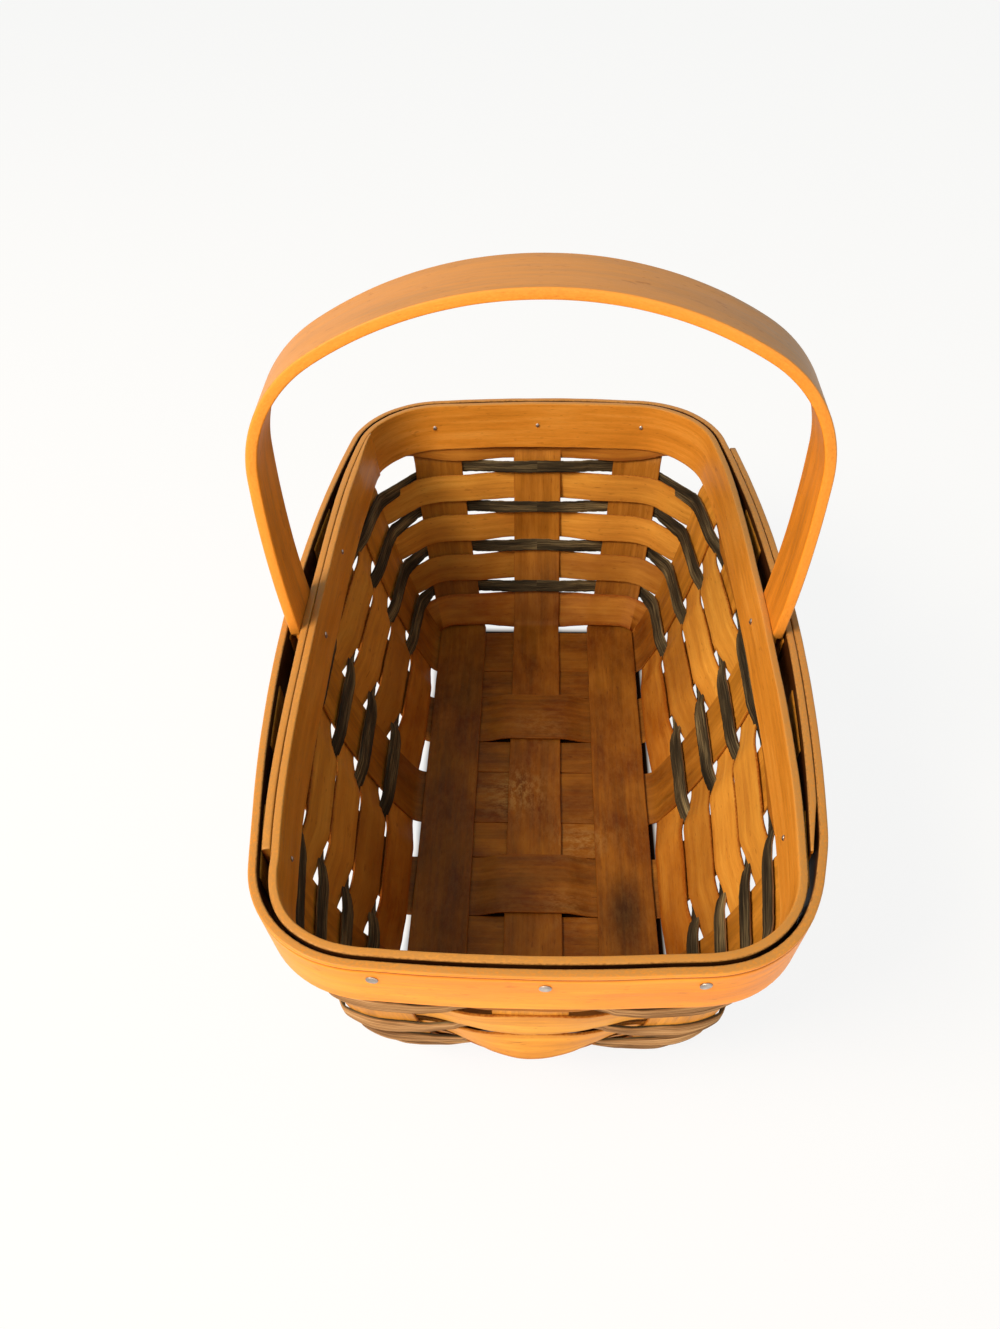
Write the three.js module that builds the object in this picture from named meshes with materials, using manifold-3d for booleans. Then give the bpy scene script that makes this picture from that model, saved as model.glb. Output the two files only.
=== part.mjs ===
// Chore basket: flat splints woven into a small rectangular basket with one arched handle.
// Millimetres, +Z up, X across the basket, Y along it with the back at +Y.
import * as THREE from 'three';
import Module from 'manifold-3d';

// Clearance between neighbouring pieces
const GAP = 0.3;

// Splints: the uprights of the walls are the same strips as the floor
const SPLINT_T = 0.8;
const LONG_W = 19.0;
const LONG_PITCH = 30.5;
const CROSS_W = 23.5;
const FILLER_W = 15.0;
const FILLER_END = 0.6;
const SIDE_MARGIN = 0.6;
const END_MARGIN = 1.45;

// Weavers
const WEAVER_T = 0.7;
const TAN_W = 11.4;
const DARK_W = 4.9;
const ROW_GAP = 0.45;
const DARK_ROWS = 4;
const FOOT_STRIP = 0.24;

// Wall profile, measured up the slope from the end of the foot bend
const FOOT_RADIUS = 5.1;
const LEAN_FOOT = THREE.MathUtils.degToRad(31.5);
const LEAN_RIM = THREE.MathUtils.degToRad(5.0);

// Outline: bowed ends and sides joined by round corners that open towards the rim
const CORNER_R_FOOT = 7.6;
const CORNER_R_RIM = 30.6;
const END_BOW_FOOT = THREE.MathUtils.degToRad(2.4);
const END_BOW_RIM = THREE.MathUtils.degToRad(5.1);
const SIDE_BOW_FOOT = THREE.MathUtils.degToRad(0.2);
const SIDE_BOW_RIM = THREE.MathUtils.degToRad(9.1);
const LONG_FAN = 0.35;
const CROSS_FAN = 0.13;

// Belly: the lower rows swell outwards at the middle of both ends
const BELLY = 4.6;
const BELLY_TOP = 66;
const BELLY_HALF = 27;

// Rim bands
const BAND_T = 2.4;
const BAND_W = 18.5;
const BAND_ABOVE_DARK = 5.65;
const BAND_TIP_T = 0.7;
const UPRIGHT_DROP = 2.0;

// Handle
const HANDLE_W = 20.0;
const HANDLE_T = 3.2;
const HANDLE_CHAMFER = 0.5;
const HANDLE_SHIFT = -1.0;
const HANDLE_LEAN = THREE.MathUtils.degToRad(8.3);
const HANDLE_SWAY = 0.013;
const HANDLE_LEG = 54.5;
const SHOULDER_R = 43.5;
const SHOULDER_TURN = THREE.MathUtils.degToRad(57);
const TAIL_T = 1.6;
const TAIL_CLEAR = 0.6;

// Tacks
const HEAD_D = 4.1;
const HEAD_H = 0.8;
const SHANK = 1.3;
const HOLE_CLEAR = 0.3;
const HEAD_CLEAR = 0.15;
const CLENCH_L = 3.4;
const CLENCH_T = 0.6;
const HANDLE_TACK_SCALE = 1.25;
const TACK_SIDES = 10;

// Sizes that follow from the ones above
const CROSS_PITCH = CROSS_W + FILLER_W + 2 * GAP;
const HALF_WIDTH = LONG_PITCH + LONG_W / 2 + SIDE_MARGIN;
const HALF_LENGTH = 2 * CROSS_PITCH + CROSS_W / 2 + END_MARGIN;
const LEVELS = [0, 1, 2].map((k) => SPLINT_T / 2 + k * (SPLINT_T + GAP));
const FOOT_OUT = FOOT_RADIUS * Math.cos(LEAN_FOOT);
const FOOT_Z = (LEVELS[0] + LEVELS[1]) / 2 + FOOT_RADIUS * (1 - Math.sin(LEAN_FOOT));
const ROW_PITCH = TAN_W + DARK_W + 2 * ROW_GAP;
const DARK_TOP = FOOT_STRIP + DARK_ROWS * ROW_PITCH - ROW_GAP;
const TOP_ROW = DARK_TOP + ROW_GAP;
const BAND_FOOT = DARK_TOP + BAND_ABOVE_DARK;
const WALL_SLOPE = BAND_FOOT + BAND_W;
const UPRIGHT_TOP = WALL_SLOPE - UPRIGHT_DROP;
const WEAVE = SPLINT_T / 2 + GAP + WEAVER_T / 2;
const STACK = WEAVE + WEAVER_T / 2 + GAP;
const LAP = BAND_T + GAP;
const TAIL_FACE = SPLINT_T / 2 + GAP;
const TAIL_FOOT = BAND_FOOT + TAIL_CLEAR;

// Uprights round the wall, counted clockwise from the middle of the back
const LONG_COUNT = 3;
const CROSS_COUNT = 5;
const UPRIGHTS = 2 * (LONG_COUNT + CROSS_COUNT);
const BACK = 0;
const RIGHT = UPRIGHTS / 4;
const FRONT = UPRIGHTS / 2;
const LEFT = 3 * UPRIGHTS / 4;
const HALF_UPRIGHT = 1 / 4;

const SPLINT_COLOUR = '#b9772f';
const FLOOR_COLOUR = '#9a6228';
const TAN_COLOUR = '#b87a38';
const DARK_COLOUR = '#4a4234';
const BAND_COLOUR = '#d8933f';
const HANDLE_COLOUR = '#c78d4a';
const TACK_COLOUR = '#6f6a66';

const wasm = await Module();
wasm.setup();

const mix = THREE.MathUtils.lerp;
const smooth = (x) => THREE.MathUtils.smoothstep(x, 0, 1);
const wrap = (p) => ((p % UPRIGHTS) + UPRIGHTS) % UPRIGHTS;

// Wall profile: the lean eases from the foot to the rim while the wall climbs
function wall(s) {
  const ease = (LEAN_RIM - LEAN_FOOT) / WALL_SLOPE;
  const lean = LEAN_FOOT + ease * s;
  return {
    lean,
    out: FOOT_OUT + (Math.cos(LEAN_FOOT) - Math.cos(lean)) / ease,
    z: FOOT_Z + (Math.sin(lean) - Math.sin(LEAN_FOOT)) / ease,
  };
}
const RIM_OUT = wall(WALL_SLOPE).out;

// One quarter of the outline at a distance outside the floor: end arc, corner arc, side arc
function quarter(out) {
  const part = out / RIM_OUT;
  const first = mix(END_BOW_FOOT, END_BOW_RIM, part);
  const last = Math.PI / 2 - mix(SIDE_BOW_FOOT, SIDE_BOW_RIM, part);
  const corner = mix(CORNER_R_FOOT, CORNER_R_RIM, part);
  const across = HALF_WIDTH + out - corner * (Math.sin(last) - Math.sin(first));
  const along = HALF_LENGTH + out - corner * (Math.cos(first) - Math.cos(last));
  const scale = Math.sin(first) * Math.cos(last) - (1 - Math.sin(last)) * (1 - Math.cos(first));
  const end = (across * Math.cos(last) - (1 - Math.sin(last)) * along) / scale;
  const side = (Math.sin(first) * along - (1 - Math.cos(first)) * across) / scale;
  const arcs = [
    { radius: end, from: 0, to: first },
    { radius: corner, from: first, to: last },
    { radius: side, from: last, to: Math.PI / 2 },
  ];
  const length = arcs.reduce((sum, arc) => sum + arc.radius * (arc.to - arc.from), 0);
  return { arcs, length, top: HALF_LENGTH + out };
}

// Point and outward direction at a length q along the outline, from the middle of the back
function outline(q, shape) {
  const whole = 4 * shape.length;
  const turned = ((q % whole) + whole) % whole;
  const quadrant = Math.min(3, Math.floor(turned / shape.length));
  const part = turned - quadrant * shape.length;
  let left = quadrant % 2 ? shape.length - part : part;
  let x = 0;
  let y = shape.top;
  let angle = 0;
  for (const arc of shape.arcs) {
    const step = Math.max(0, Math.min(left, arc.radius * (arc.to - arc.from)));
    const next = arc.from + step / arc.radius;
    x += arc.radius * (Math.sin(next) - Math.sin(arc.from));
    y -= arc.radius * (Math.cos(arc.from) - Math.cos(next));
    angle = step > 0 ? next : angle;
    left -= step;
  }
  const sx = quadrant < 2 ? 1 : -1;
  const sy = quadrant === 0 || quadrant === 3 ? 1 : -1;
  return { x: sx * x, y: sy * y, nx: sx * Math.sin(angle), ny: sy * Math.cos(angle) };
}

const middleOf = (index, first) => first + FRONT * Math.round((index - first) / FRONT);
const isEnd = (index) => Math.abs(index - middleOf(index, BACK)) < LONG_COUNT / 2;
const uprightWidth = (index) => (isEnd(index) ? LONG_W : CROSS_W);

// Length along the outline where an upright's middle stands
function uprightAt(index, out, shape) {
  const end = isEnd(index);
  const middle = middleOf(index, end ? BACK : RIGHT);
  const pitch = end ? LONG_PITCH : CROSS_PITCH;
  const fan = 1 + (end ? LONG_FAN : CROSS_FAN) * out / RIM_OUT;
  return (middle / RIGHT) * shape.length + (index - middle) * pitch * fan;
}

// Place p counts uprights: a quarter either side of a whole number is on that upright
function lengthAt(p, out, shape) {
  const index = Math.round(p);
  const off = p - index;
  if (Math.abs(off) <= HALF_UPRIGHT) {
    return uprightAt(index, out, shape) + 2 * off * uprightWidth(index);
  }
  const low = off > 0 ? index : index - 1;
  const part = 2 * (p - low - HALF_UPRIGHT);
  const from = uprightAt(low, out, shape) + uprightWidth(low) / 2;
  const to = uprightAt(low + 1, out, shape) - uprightWidth(low + 1) / 2;
  return mix(from, to, part);
}

// Swelling at a length q along the outline and a slope height s
function belly(q, s, shape) {
  const half = 2 * shape.length;
  const aside = Math.abs(q - half * Math.round(q / half)) / BELLY_HALF;
  const up = s / BELLY_TOP;
  if (aside >= 1 || up >= 1) return 0;
  return BELLY * Math.cos(aside * Math.PI / 2) ** 2 * Math.sin(up * Math.PI) ** 2;
}

// Point of the wall: place p, slope height s, distance n outside the middle of the uprights
function skin(p, s, n) {
  const { lean, out, z } = wall(s);
  const shape = quarter(out);
  const q = lengthAt(p, out, shape);
  const o = outline(q, shape);
  const distance = n + belly(q, s, shape);
  const level = distance * Math.cos(lean);
  return [o.x + o.nx * level, o.y + o.ny * level, z - distance * Math.sin(lean)];
}

// Places where every strip round the wall has a section, so that neighbours stay parallel
const turnsAfter = (index) => isEnd(index) !== isEnd(index + 1);
const isCornerUpright = (index) => turnsAfter(index) || turnsAfter(index - 1);
const isMiddleUpright = (index) => wrap(index) % FRONT === 0;
const CORNER_STEPS = 4;
const MIDDLE_STEPS = 2;
const CROSSING_STEPS = 4;
const TURN_STEPS = 6;

function uprightSteps(index) {
  if (isMiddleUpright(index)) return MIDDLE_STEPS;
  return isCornerUpright(index) ? CORNER_STEPS : 1;
}

function uprightPlaces(index) {
  const steps = uprightSteps(index);
  const places = [];
  for (let k = 0; k <= steps; k += 1) {
    places.push(index + mix(-HALF_UPRIGHT, HALF_UPRIGHT, k / steps));
  }
  return places;
}

function placesFrom(first, last) {
  const places = [];
  for (let index = first; index < last; index += 1) {
    places.push(...uprightPlaces(index));
    const steps = turnsAfter(index) ? TURN_STEPS : CROSSING_STEPS;
    for (let k = 1; k < steps; k += 1) {
      places.push(index + HALF_UPRIGHT + 2 * HALF_UPRIGHT * k / steps);
    }
  }
  return places;
}

// Join rings of points into one closed surface; rings run outer face then inner face back
function loft(rings, closed, strips) {
  const size = rings[0].length;
  const points = rings.flat();
  const faces = [];
  const quad = (a, b, c, d) => faces.push([a, b, c], [a, c, d]);
  const spans = closed ? rings.length : rings.length - 1;
  for (let r = 0; r < spans; r += 1) {
    const here = r * size;
    const next = ((r + 1) % rings.length) * size;
    for (let k = 0; k < size; k += 1) {
      const m = (k + 1) % size;
      quad(here + k, here + m, next + m, next + k);
    }
  }
  if (!closed) {
    const last = (rings.length - 1) * size;
    for (let k = 0; k < (strips ? size / 2 - 1 : 0); k += 1) {
      quad(size - 1 - k, size - 2 - k, k + 1, k);
      quad(last + k, last + k + 1, last + size - 2 - k, last + size - 1 - k);
    }
    for (let k = 1; k < (strips ? 0 : size - 1); k += 1) {
      faces.push([0, k + 1, k], [last, last + k, last + k + 1]);
    }
  }
  return { points, faces };
}

function volume({ points, faces }) {
  let sum = 0;
  for (const [a, b, c] of faces) {
    const [p, q, r] = [points[a], points[b], points[c]];
    sum += p[0] * (q[1] * r[2] - q[2] * r[1]);
    sum += p[1] * (q[2] * r[0] - q[0] * r[2]);
    sum += p[2] * (q[0] * r[1] - q[1] * r[0]);
  }
  return sum;
}

function solid(surface) {
  const outward = volume(surface) > 0;
  const faces = surface.faces.map(([a, b, c]) => (outward ? [a, b, c] : [a, c, b]));
  return new wasm.Manifold(new wasm.Mesh({
    numProp: 3,
    vertProperties: new Float32Array(surface.points.flat()),
    triVerts: new Uint32Array(faces.flat()),
  }));
}

// Strip between two slope heights whose faces keep the given distances from the uprights
function hoopRing(p, low, high, inner, outer) {
  return [skin(p, low, outer), skin(p, high, outer), skin(p, high, inner), skin(p, low, inner)];
}

// Weaver: outside and inside the uprights by turns, crossing over in the open between them
function weaver(low, width, outsideAtBack) {
  const side = (index) => ((wrap(index) % 2 === 0) === outsideAtBack ? WEAVE : -WEAVE);
  const offset = (p) => {
    const index = Math.round(p);
    if (Math.abs(p - index) <= HALF_UPRIGHT) return side(index);
    const start = p > index ? index : index - 1;
    const part = 2 * (p - start - HALF_UPRIGHT);
    return mix(side(start), side(start + 1), smooth(part));
  };
  const rings = placesFrom(0, UPRIGHTS).map((p) => {
    const n = offset(p);
    return hoopRing(p, low, low + width, n - WEAVER_T / 2, n + WEAVER_T / 2);
  });
  return solid(loft(rings, true, true));
}

// Foot bend of a splint from its floor level to the common start of the wall
const BEND_STEPS = 6;

function bend(level) {
  const turn = Math.PI / 2 - LEAN_FOOT;
  const radius = (FOOT_Z - level) / (1 - Math.cos(turn));
  const start = FOOT_OUT - radius * Math.sin(turn);
  return { turn, radius, start };
}

// Sections of one turned-up half of a splint, from the floor to its top
// `lay` turns (along the splint, across it, height) into a point, `placeOf` gives the wall place
function upturn(level, half, centre, width, fan, placeOf, lay) {
  const { turn, radius, start } = bend(level);
  const steps = uprightSteps(Math.round(placeOf(0)));
  const across = [];
  for (let k = 0; k <= steps; k += 1) across.push(mix(-0.5, 0.5, k / steps));
  const shape = quarter(FOOT_OUT);
  const foot = half + FOOT_OUT;
  const rings = [];
  for (let k = 0; k <= BEND_STEPS; k += 1) {
    const part = k / BEND_STEPS;
    const angle = part * turn;
    const out = start + radius * Math.sin(angle);
    const z = level + radius * (1 - Math.cos(angle));
    const middle = centre * (1 + fan * Math.max(0, out) / RIM_OUT);
    const face = (distance) => across.map((w) => {
      const o = outline(lengthAt(placeOf(w), FOOT_OUT, shape), shape);
      const flat = lay(foot, centre * (1 + fan * FOOT_OUT / RIM_OUT) + w * width, 0);
      const along = lay(1, 0, 0);
      const bent = new THREE.Vector3(along[0], along[1], 0);
      bent.lerp(new THREE.Vector3(o.nx, o.ny, 0), part).normalize();
      const base = lay(half + out, middle + w * width, z);
      const sideways = distance * Math.sin(angle);
      return [
        base[0] + part * (o.x - flat[0]) + bent.x * sideways,
        base[1] + part * (o.y - flat[1]) + bent.y * sideways,
        z - distance * Math.cos(angle),
      ];
    });
    rings.push([...face(SPLINT_T / 2), ...face(-SPLINT_T / 2).reverse()]);
  }
  for (const s of wallStations().slice(1)) {
    const face = (n) => across.map((w) => skin(placeOf(w), s, n));
    rings.push([...face(SPLINT_T / 2), ...face(-SPLINT_T / 2).reverse()]);
  }
  return rings;
}

// Slope heights between the rows
function wallStations() {
  const heights = [0];
  for (let row = 0; row < DARK_ROWS; row += 1) {
    const low = FOOT_STRIP + row * ROW_PITCH;
    heights.push(low + TAN_W + ROW_GAP / 2);
    heights.push(low + ROW_PITCH - ROW_GAP / 2);
  }
  heights.push(TOP_ROW + TAN_W + ROW_GAP / 2);
  heights.push(UPRIGHT_TOP);
  return heights;
}

// Place round the wall at a share w of a splint's width
const placeAcross = (place, direction) => (w) => place + 2 * HALF_UPRIGHT * direction * w;

// Long splint: lies along the floor and turns up at the front and the back
function longSplint(column) {
  const x = column * LONG_PITCH;
  const back = BACK + column;
  const front = FRONT - column;
  const laid = (sign) => (u, w, z) => [w, sign * u, z];
  const rising = (place, direction, sign) => upturn(
    LEVELS[1], HALF_LENGTH, x, LONG_W, LONG_FAN, placeAcross(place, direction), laid(sign),
  );
  return solid(loft([...rising(front, -1, -1).reverse(), ...rising(back, 1, 1)], false, true));
}

// Cross splint: lies across the floor; two of the five step over the centre long splint
const STEP_COUNT = 6;
const CROSS_MIDDLE = (CROSS_COUNT - 1) / 2;

function crossSplint(row) {
  const y = (CROSS_MIDDLE - row) * CROSS_PITCH;
  const placeRight = RIGHT - CROSS_MIDDLE + row;
  const placeLeft = LEFT + CROSS_MIDDLE - row;
  const steps = uprightSteps(placeRight);
  const laid = (sign) => (u, w, z) => [sign * u, w, z];
  const rising = (place, direction, sign) => upturn(
    LEVELS[0], HALF_WIDTH, y, CROSS_W, CROSS_FAN, placeAcross(place, direction), laid(sign),
  );
  const left = rising(placeLeft, 1, -1).reverse();
  const right = rising(placeRight, -1, 1);
  const humps = [];
  if (row % 2 === 1) {
    const from = LONG_PITCH - LONG_W / 2 - GAP;
    const to = LONG_W / 2 + GAP;
    const section = (x, z) => {
      const face = (dz) => Array.from({ length: steps + 1 }, (_, k) => (
        [x, y + mix(-CROSS_W / 2, CROSS_W / 2, k / steps), z + dz]));
      return [...face(-SPLINT_T / 2), ...face(SPLINT_T / 2).reverse()];
    };
    for (const side of [-1, 1]) {
      const flight = [];
      for (let k = 0; k <= STEP_COUNT; k += 1) {
        const z = mix(LEVELS[0], LEVELS[2], smooth(k / STEP_COUNT));
        flight.push(section(side * mix(from, to, k / STEP_COUNT), z));
      }
      humps.push(...(side < 0 ? flight : flight.reverse()));
    }
  }
  return solid(loft([...left, ...humps, ...right], false, true));
}

// Box with its low corner at one point and its high corner at another
function box(low, high) {
  const ring = (x) => [
    [x, low[1], low[2]], [x, high[1], low[2]], [x, high[1], high[2]], [x, low[1], high[2]],
  ];
  return solid(loft([ring(low[0]), ring(high[0])], false, false));
}

function filler(row) {
  const y = (CROSS_MIDDLE - 1 / 2 - row) * CROSS_PITCH;
  const end = HALF_WIDTH - FILLER_END;
  return box([-end, y - FILLER_W / 2, 0], [end, y + FILLER_W / 2, SPLINT_T]);
}

// How far the inner band stands off to make room for the handle's tail
function standOff(p) {
  const near = Math.abs(p - middleOf(p, RIGHT));
  const part = 1 - smooth((near - HALF_UPRIGHT) / (2 * HALF_UPRIGHT));
  return part * (TAIL_T - WEAVER_T);
}

// Laps of the bands, as places round the wall
const INNER_START = LEFT + 2.3;
const INNER_TIP = LEFT + 1.8;
const INNER_END = LEFT - 2.1 - UPRIGHTS;
const INNER_EASE = [LEFT - 2.12, LEFT - 2.6];
const OUTER_START = RIGHT - 2.08;
const OUTER_TIP = RIGHT + 1.7 + UPRIGHTS;
const OUTER_END = RIGHT + 2.05 + UPRIGHTS;
const OUTER_EASE = [RIGHT + 2.0, RIGHT + 2.6];

const ease = ([from, to], p) => smooth((p - from) / (to - from));

function innerFaces(p) {
  const over = p > INNER_EASE[1] ? 1 - ease(INNER_EASE, p) : 0;
  const near = STACK + standOff(p) + over * LAP;
  const tip = p > INNER_TIP ? (p - INNER_TIP) / (INNER_START - INNER_TIP) : 0;
  return [-near - mix(BAND_T, BAND_TIP_T, tip), -near];
}

function outerFaces(p) {
  const over = p < OUTER_EASE[1] ? 1 - ease(OUTER_EASE, p) : 0;
  const near = STACK + over * LAP;
  const tip = p > OUTER_TIP ? (p - OUTER_TIP) / (OUTER_END - OUTER_TIP) : 0;
  return [near, near + mix(BAND_T, BAND_TIP_T, tip)];
}

function band(start, end, faces) {
  const low = Math.min(start, end);
  const high = Math.max(start, end);
  const inside = placesFrom(Math.floor(low) - 1, Math.ceil(high) + 1)
    .filter((p) => p > low + 0.01 && p < high - 0.01);
  const rings = [low, ...inside, high].map((p) => {
    const [inner, outer] = faces(p);
    return hoopRing(p, BAND_FOOT, WALL_SLOPE, inner, outer);
  });
  return solid(loft(rings, false, true));
}

// Handle: the outer face follows a leg arc, a shoulder arc and a crown arc; above the rim it
// stands a little to the right
const LEG_STEPS = 4;
const SHOULDER_STEPS = 7;
const CROWN_STEPS = 8;
const TAIL_STEPS = 4;

// Outer face point and lean of the handle's path on the right, from the tail to the crown
function handlePath() {
  const edge = RIGHT + HALF_UPRIGHT;
  const face = HANDLE_T - TAIL_FACE - TAIL_T;
  const path = [];
  for (let k = 0; k < TAIL_STEPS; k += 1) {
    const s = mix(TAIL_FOOT, WALL_SLOPE, k / TAIL_STEPS);
    const [x, , z] = skin(edge, s, face);
    path.push({ x, z, lean: wall(s).lean });
  }
  const [x0, , z0] = skin(edge, WALL_SLOPE, face);
  const arc = (start, radius, from, to, steps) => {
    const cx = start.x - radius * Math.cos(from);
    const cz = start.z + radius * Math.sin(from);
    for (let k = 1; k <= steps; k += 1) {
      const lean = mix(from, to, k / steps);
      path.push({ x: cx + radius * Math.cos(lean), z: cz - radius * Math.sin(lean), lean });
    }
    return path[path.length - 1];
  };
  path.push({ x: x0, z: z0, lean: LEAN_RIM });
  const rim = { x: x0, z: z0 };
  const leg = arc(rim, HANDLE_LEG / Math.sin(HANDLE_LEAN), HANDLE_LEAN, 0, LEG_STEPS);
  const bendEnd = arc(leg, SHOULDER_R, 0, -SHOULDER_TURN, SHOULDER_STEPS);
  const crown = bendEnd.x / Math.cos(SHOULDER_TURN);
  arc(bendEnd, crown, -SHOULDER_TURN, -Math.PI / 2, CROWN_STEPS);
  return path;
}

function handle() {
  const half = HANDLE_W / 2;
  const c = HANDLE_CHAMFER;
  const section = [
    [0, -half + c], [0, half - c], [-c, half], [c - HANDLE_T, half],
    [-HANDLE_T, half - c], [-HANDLE_T, c - half], [c - HANDLE_T, -half], [-c, -half],
  ];
  const path = handlePath();
  const rim = path[TAIL_STEPS].z;
  const ring = ({ x, z, lean }, side) => section.map(([t, y]) => [
    side * (x + t * Math.cos(lean)) + HANDLE_SWAY * Math.max(0, z - rim),
    HANDLE_SHIFT + y,
    z - t * Math.sin(lean),
  ]);
  const right = path.map((station) => ring(station, 1));
  const left = path.slice(0, -1).map((station) => ring(station, -1)).reverse();
  return solid(loft([...right, ...left], false, false)).subtract(notch(1)).subtract(notch(-1));
}

// Block that cuts the step in the handle's outer face down to its thin tail
function notch(side) {
  const edge = RIGHT + HALF_UPRIGHT;
  const rings = [];
  for (let k = 0; k <= TAIL_STEPS; k += 1) {
    const s = mix(TAIL_FOOT - BAND_T, UPRIGHT_TOP + GAP, k / TAIL_STEPS);
    const [xi, , zi] = skin(edge, s, -TAIL_FACE);
    const [xo, , zo] = skin(edge, s, HANDLE_T);
    const y = HANDLE_W;
    rings.push([
      [side * xi, -y, zi], [side * xo, -y, zo], [side * xo, y, zo], [side * xi, y, zi],
    ]);
  }
  return solid(loft(rings, false, false));
}

// Tack places: place round the wall, distance below the rim, size
const FRONT_DROP = 5.5;
const MIDDLE_DROP = BAND_W / 2;
const LOW_DROP = 11.0;
const HIGH_DROP = 7.0;
const TACKS = {
  tack_front_right: [FRONT - 0.97, FRONT_DROP, 1],
  tack_front_centre: [FRONT - 0.09, FRONT_DROP, 1],
  tack_front_left: [FRONT + 0.88, FRONT_DROP, 1],
  tack_back_left: [BACK - 1, MIDDLE_DROP, 1],
  tack_back_centre: [BACK, MIDDLE_DROP, 1],
  tack_back_right: [BACK + 1, MIDDLE_DROP, 1],
  tack_left_front: [LEFT - 2.02, LOW_DROP, 1],
  tack_left_handle: [LEFT - 0.08, MIDDLE_DROP, HANDLE_TACK_SCALE],
  tack_left_rear: [LEFT + 0.84, HIGH_DROP, 1],
  tack_right_handle: [RIGHT - 0.09, MIDDLE_DROP, HANDLE_TACK_SCALE],
  tack_right_front: [RIGHT + 1.82, LOW_DROP, 1],
};

// Directions at a tack, on the straight line of the bands' section: outwards, up, round
function frameAt(p, s) {
  const foot = new THREE.Vector3(...skin(p, BAND_FOOT, 0));
  const rim = new THREE.Vector3(...skin(p, WALL_SLOPE, 0));
  const at = foot.clone().lerp(rim, (s - BAND_FOOT) / BAND_W);
  const up = rim.clone().sub(foot).normalize();
  const out = new THREE.Vector3(...skin(p, WALL_SLOPE, 1)).sub(rim);
  out.addScaledVector(up, -out.dot(up)).normalize();
  const round = new THREE.Vector3().crossVectors(up, out);
  return { at, out, up, round };
}

function place(frame, r, u, n) {
  const point = frame.at.clone().addScaledVector(frame.round, r);
  point.addScaledVector(frame.up, u).addScaledVector(frame.out, n);
  return point.toArray();
}

function bar(frame, low, high) {
  const ring = (n) => [
    place(frame, low[0], low[1], n), place(frame, high[0], low[1], n),
    place(frame, high[0], high[1], n), place(frame, low[0], high[1], n),
  ];
  return solid(loft([ring(low[2]), ring(high[2])], false, false));
}

const DEEP = 12;

function tackHole([p, drop, size]) {
  const half = size * SHANK / 2 + HOLE_CLEAR;
  return bar(frameAt(p, WALL_SLOPE - drop), [-half, -half, -DEEP], [half, half, DEEP]);
}

// Faces that a tack's head and its clenched tip rest on
function stackAt(p) {
  const turns = [p - UPRIGHTS, p, p + UPRIGHTS];
  const outer = Math.max(...turns.map((q) => (
    q >= OUTER_START && q <= OUTER_END ? outerFaces(q)[1] : 0)));
  const inner = Math.min(...turns.map((q) => (
    q <= INNER_START && q >= INNER_END ? innerFaces(q)[0] : 0)));
  return { outer, inner };
}

function tack([p, drop, size]) {
  const frame = frameAt(p, WALL_SLOPE - drop);
  const { outer, inner } = stackAt(p);
  const face = outer + HEAD_CLEAR;
  const back = inner - HEAD_CLEAR;
  const half = size * SHANK / 2;
  const profile = [[0.5, 0], [0.5, 0.45], [0.34, 0.85], [0.15, 1]];
  const head = solid(loft(profile.map(([r, h]) => (
    Array.from({ length: TACK_SIDES }, (_, k) => {
      const angle = 2 * Math.PI * k / TACK_SIDES;
      const radius = r * size * HEAD_D;
      return place(frame, radius * Math.cos(angle), radius * Math.sin(angle), face + h * HEAD_H);
    }))), false, false));
  const shank = bar(frame, [-half, -half, back - CLENCH_T], [half, half, face + HEAD_H / 4]);
  const reach = size * CLENCH_L;
  const clench = bar(frame, [-half, -half, back - CLENCH_T], [half, reach - half, back]);
  return head.add(shank).add(clench);
}

const holes = wasm.Manifold.union(Object.values(TACKS).map(tackHole));

// Everything sits in one frame whose origin is under the middle of the finished basket
const CENTRE_SHIFT = -LAP / 2;

function mesh(name, body, colour, roughness, metalness) {
  const data = body.getMesh();
  const geometry = new THREE.BufferGeometry();
  geometry.setAttribute('position', new THREE.BufferAttribute(
    new Float32Array(data.vertProperties), data.numProp,
  ));
  geometry.setIndex(new THREE.BufferAttribute(new Uint32Array(data.triVerts), 1));
  geometry.translate(CENTRE_SHIFT, 0, 0);
  const flat = geometry.toNonIndexed();
  flat.computeVertexNormals();
  const material = new THREE.MeshStandardMaterial({ color: colour, roughness, metalness });
  const node = new THREE.Mesh(flat, material);
  node.name = name;
  return node;
}

const WOOD_ROUGH = 0.7;
const TACK_ROUGH = 0.5;
const basket = new THREE.Group();
basket.name = 'chore_basket';
const wood = (name, body, colour) => basket.add(mesh(name, body, colour, WOOD_ROUGH, 0));

['left', 'centre', 'right'].forEach((name, k) => {
  wood(`splint_long_${name}`, longSplint(k - 1).subtract(holes), SPLINT_COLOUR);
});
for (let row = 0; row < CROSS_COUNT; row += 1) {
  wood(`splint_cross_${row + 1}`, crossSplint(row).subtract(holes), SPLINT_COLOUR);
}
for (let row = 0; row < CROSS_COUNT - 1; row += 1) {
  wood(`filler_${row + 1}`, filler(row), FLOOR_COLOUR);
}
for (let row = 0; row < DARK_ROWS; row += 1) {
  const low = FOOT_STRIP + row * ROW_PITCH;
  const number = DARK_ROWS - row;
  wood(`weaver_tan_${number}`, weaver(low, TAN_W, true), TAN_COLOUR);
  wood(`weaver_dark_${number}`, weaver(low + TAN_W + ROW_GAP, DARK_W, false), DARK_COLOUR);
}
wood('weaver_top', weaver(TOP_ROW, TAN_W, true).subtract(holes), TAN_COLOUR);
wood('rim_band_inner', band(INNER_START, INNER_END, innerFaces).subtract(holes), BAND_COLOUR);
wood('rim_band_outer', band(OUTER_START, OUTER_END, outerFaces).subtract(holes), BAND_COLOUR);
wood('handle', handle().subtract(holes), HANDLE_COLOUR);
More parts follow.
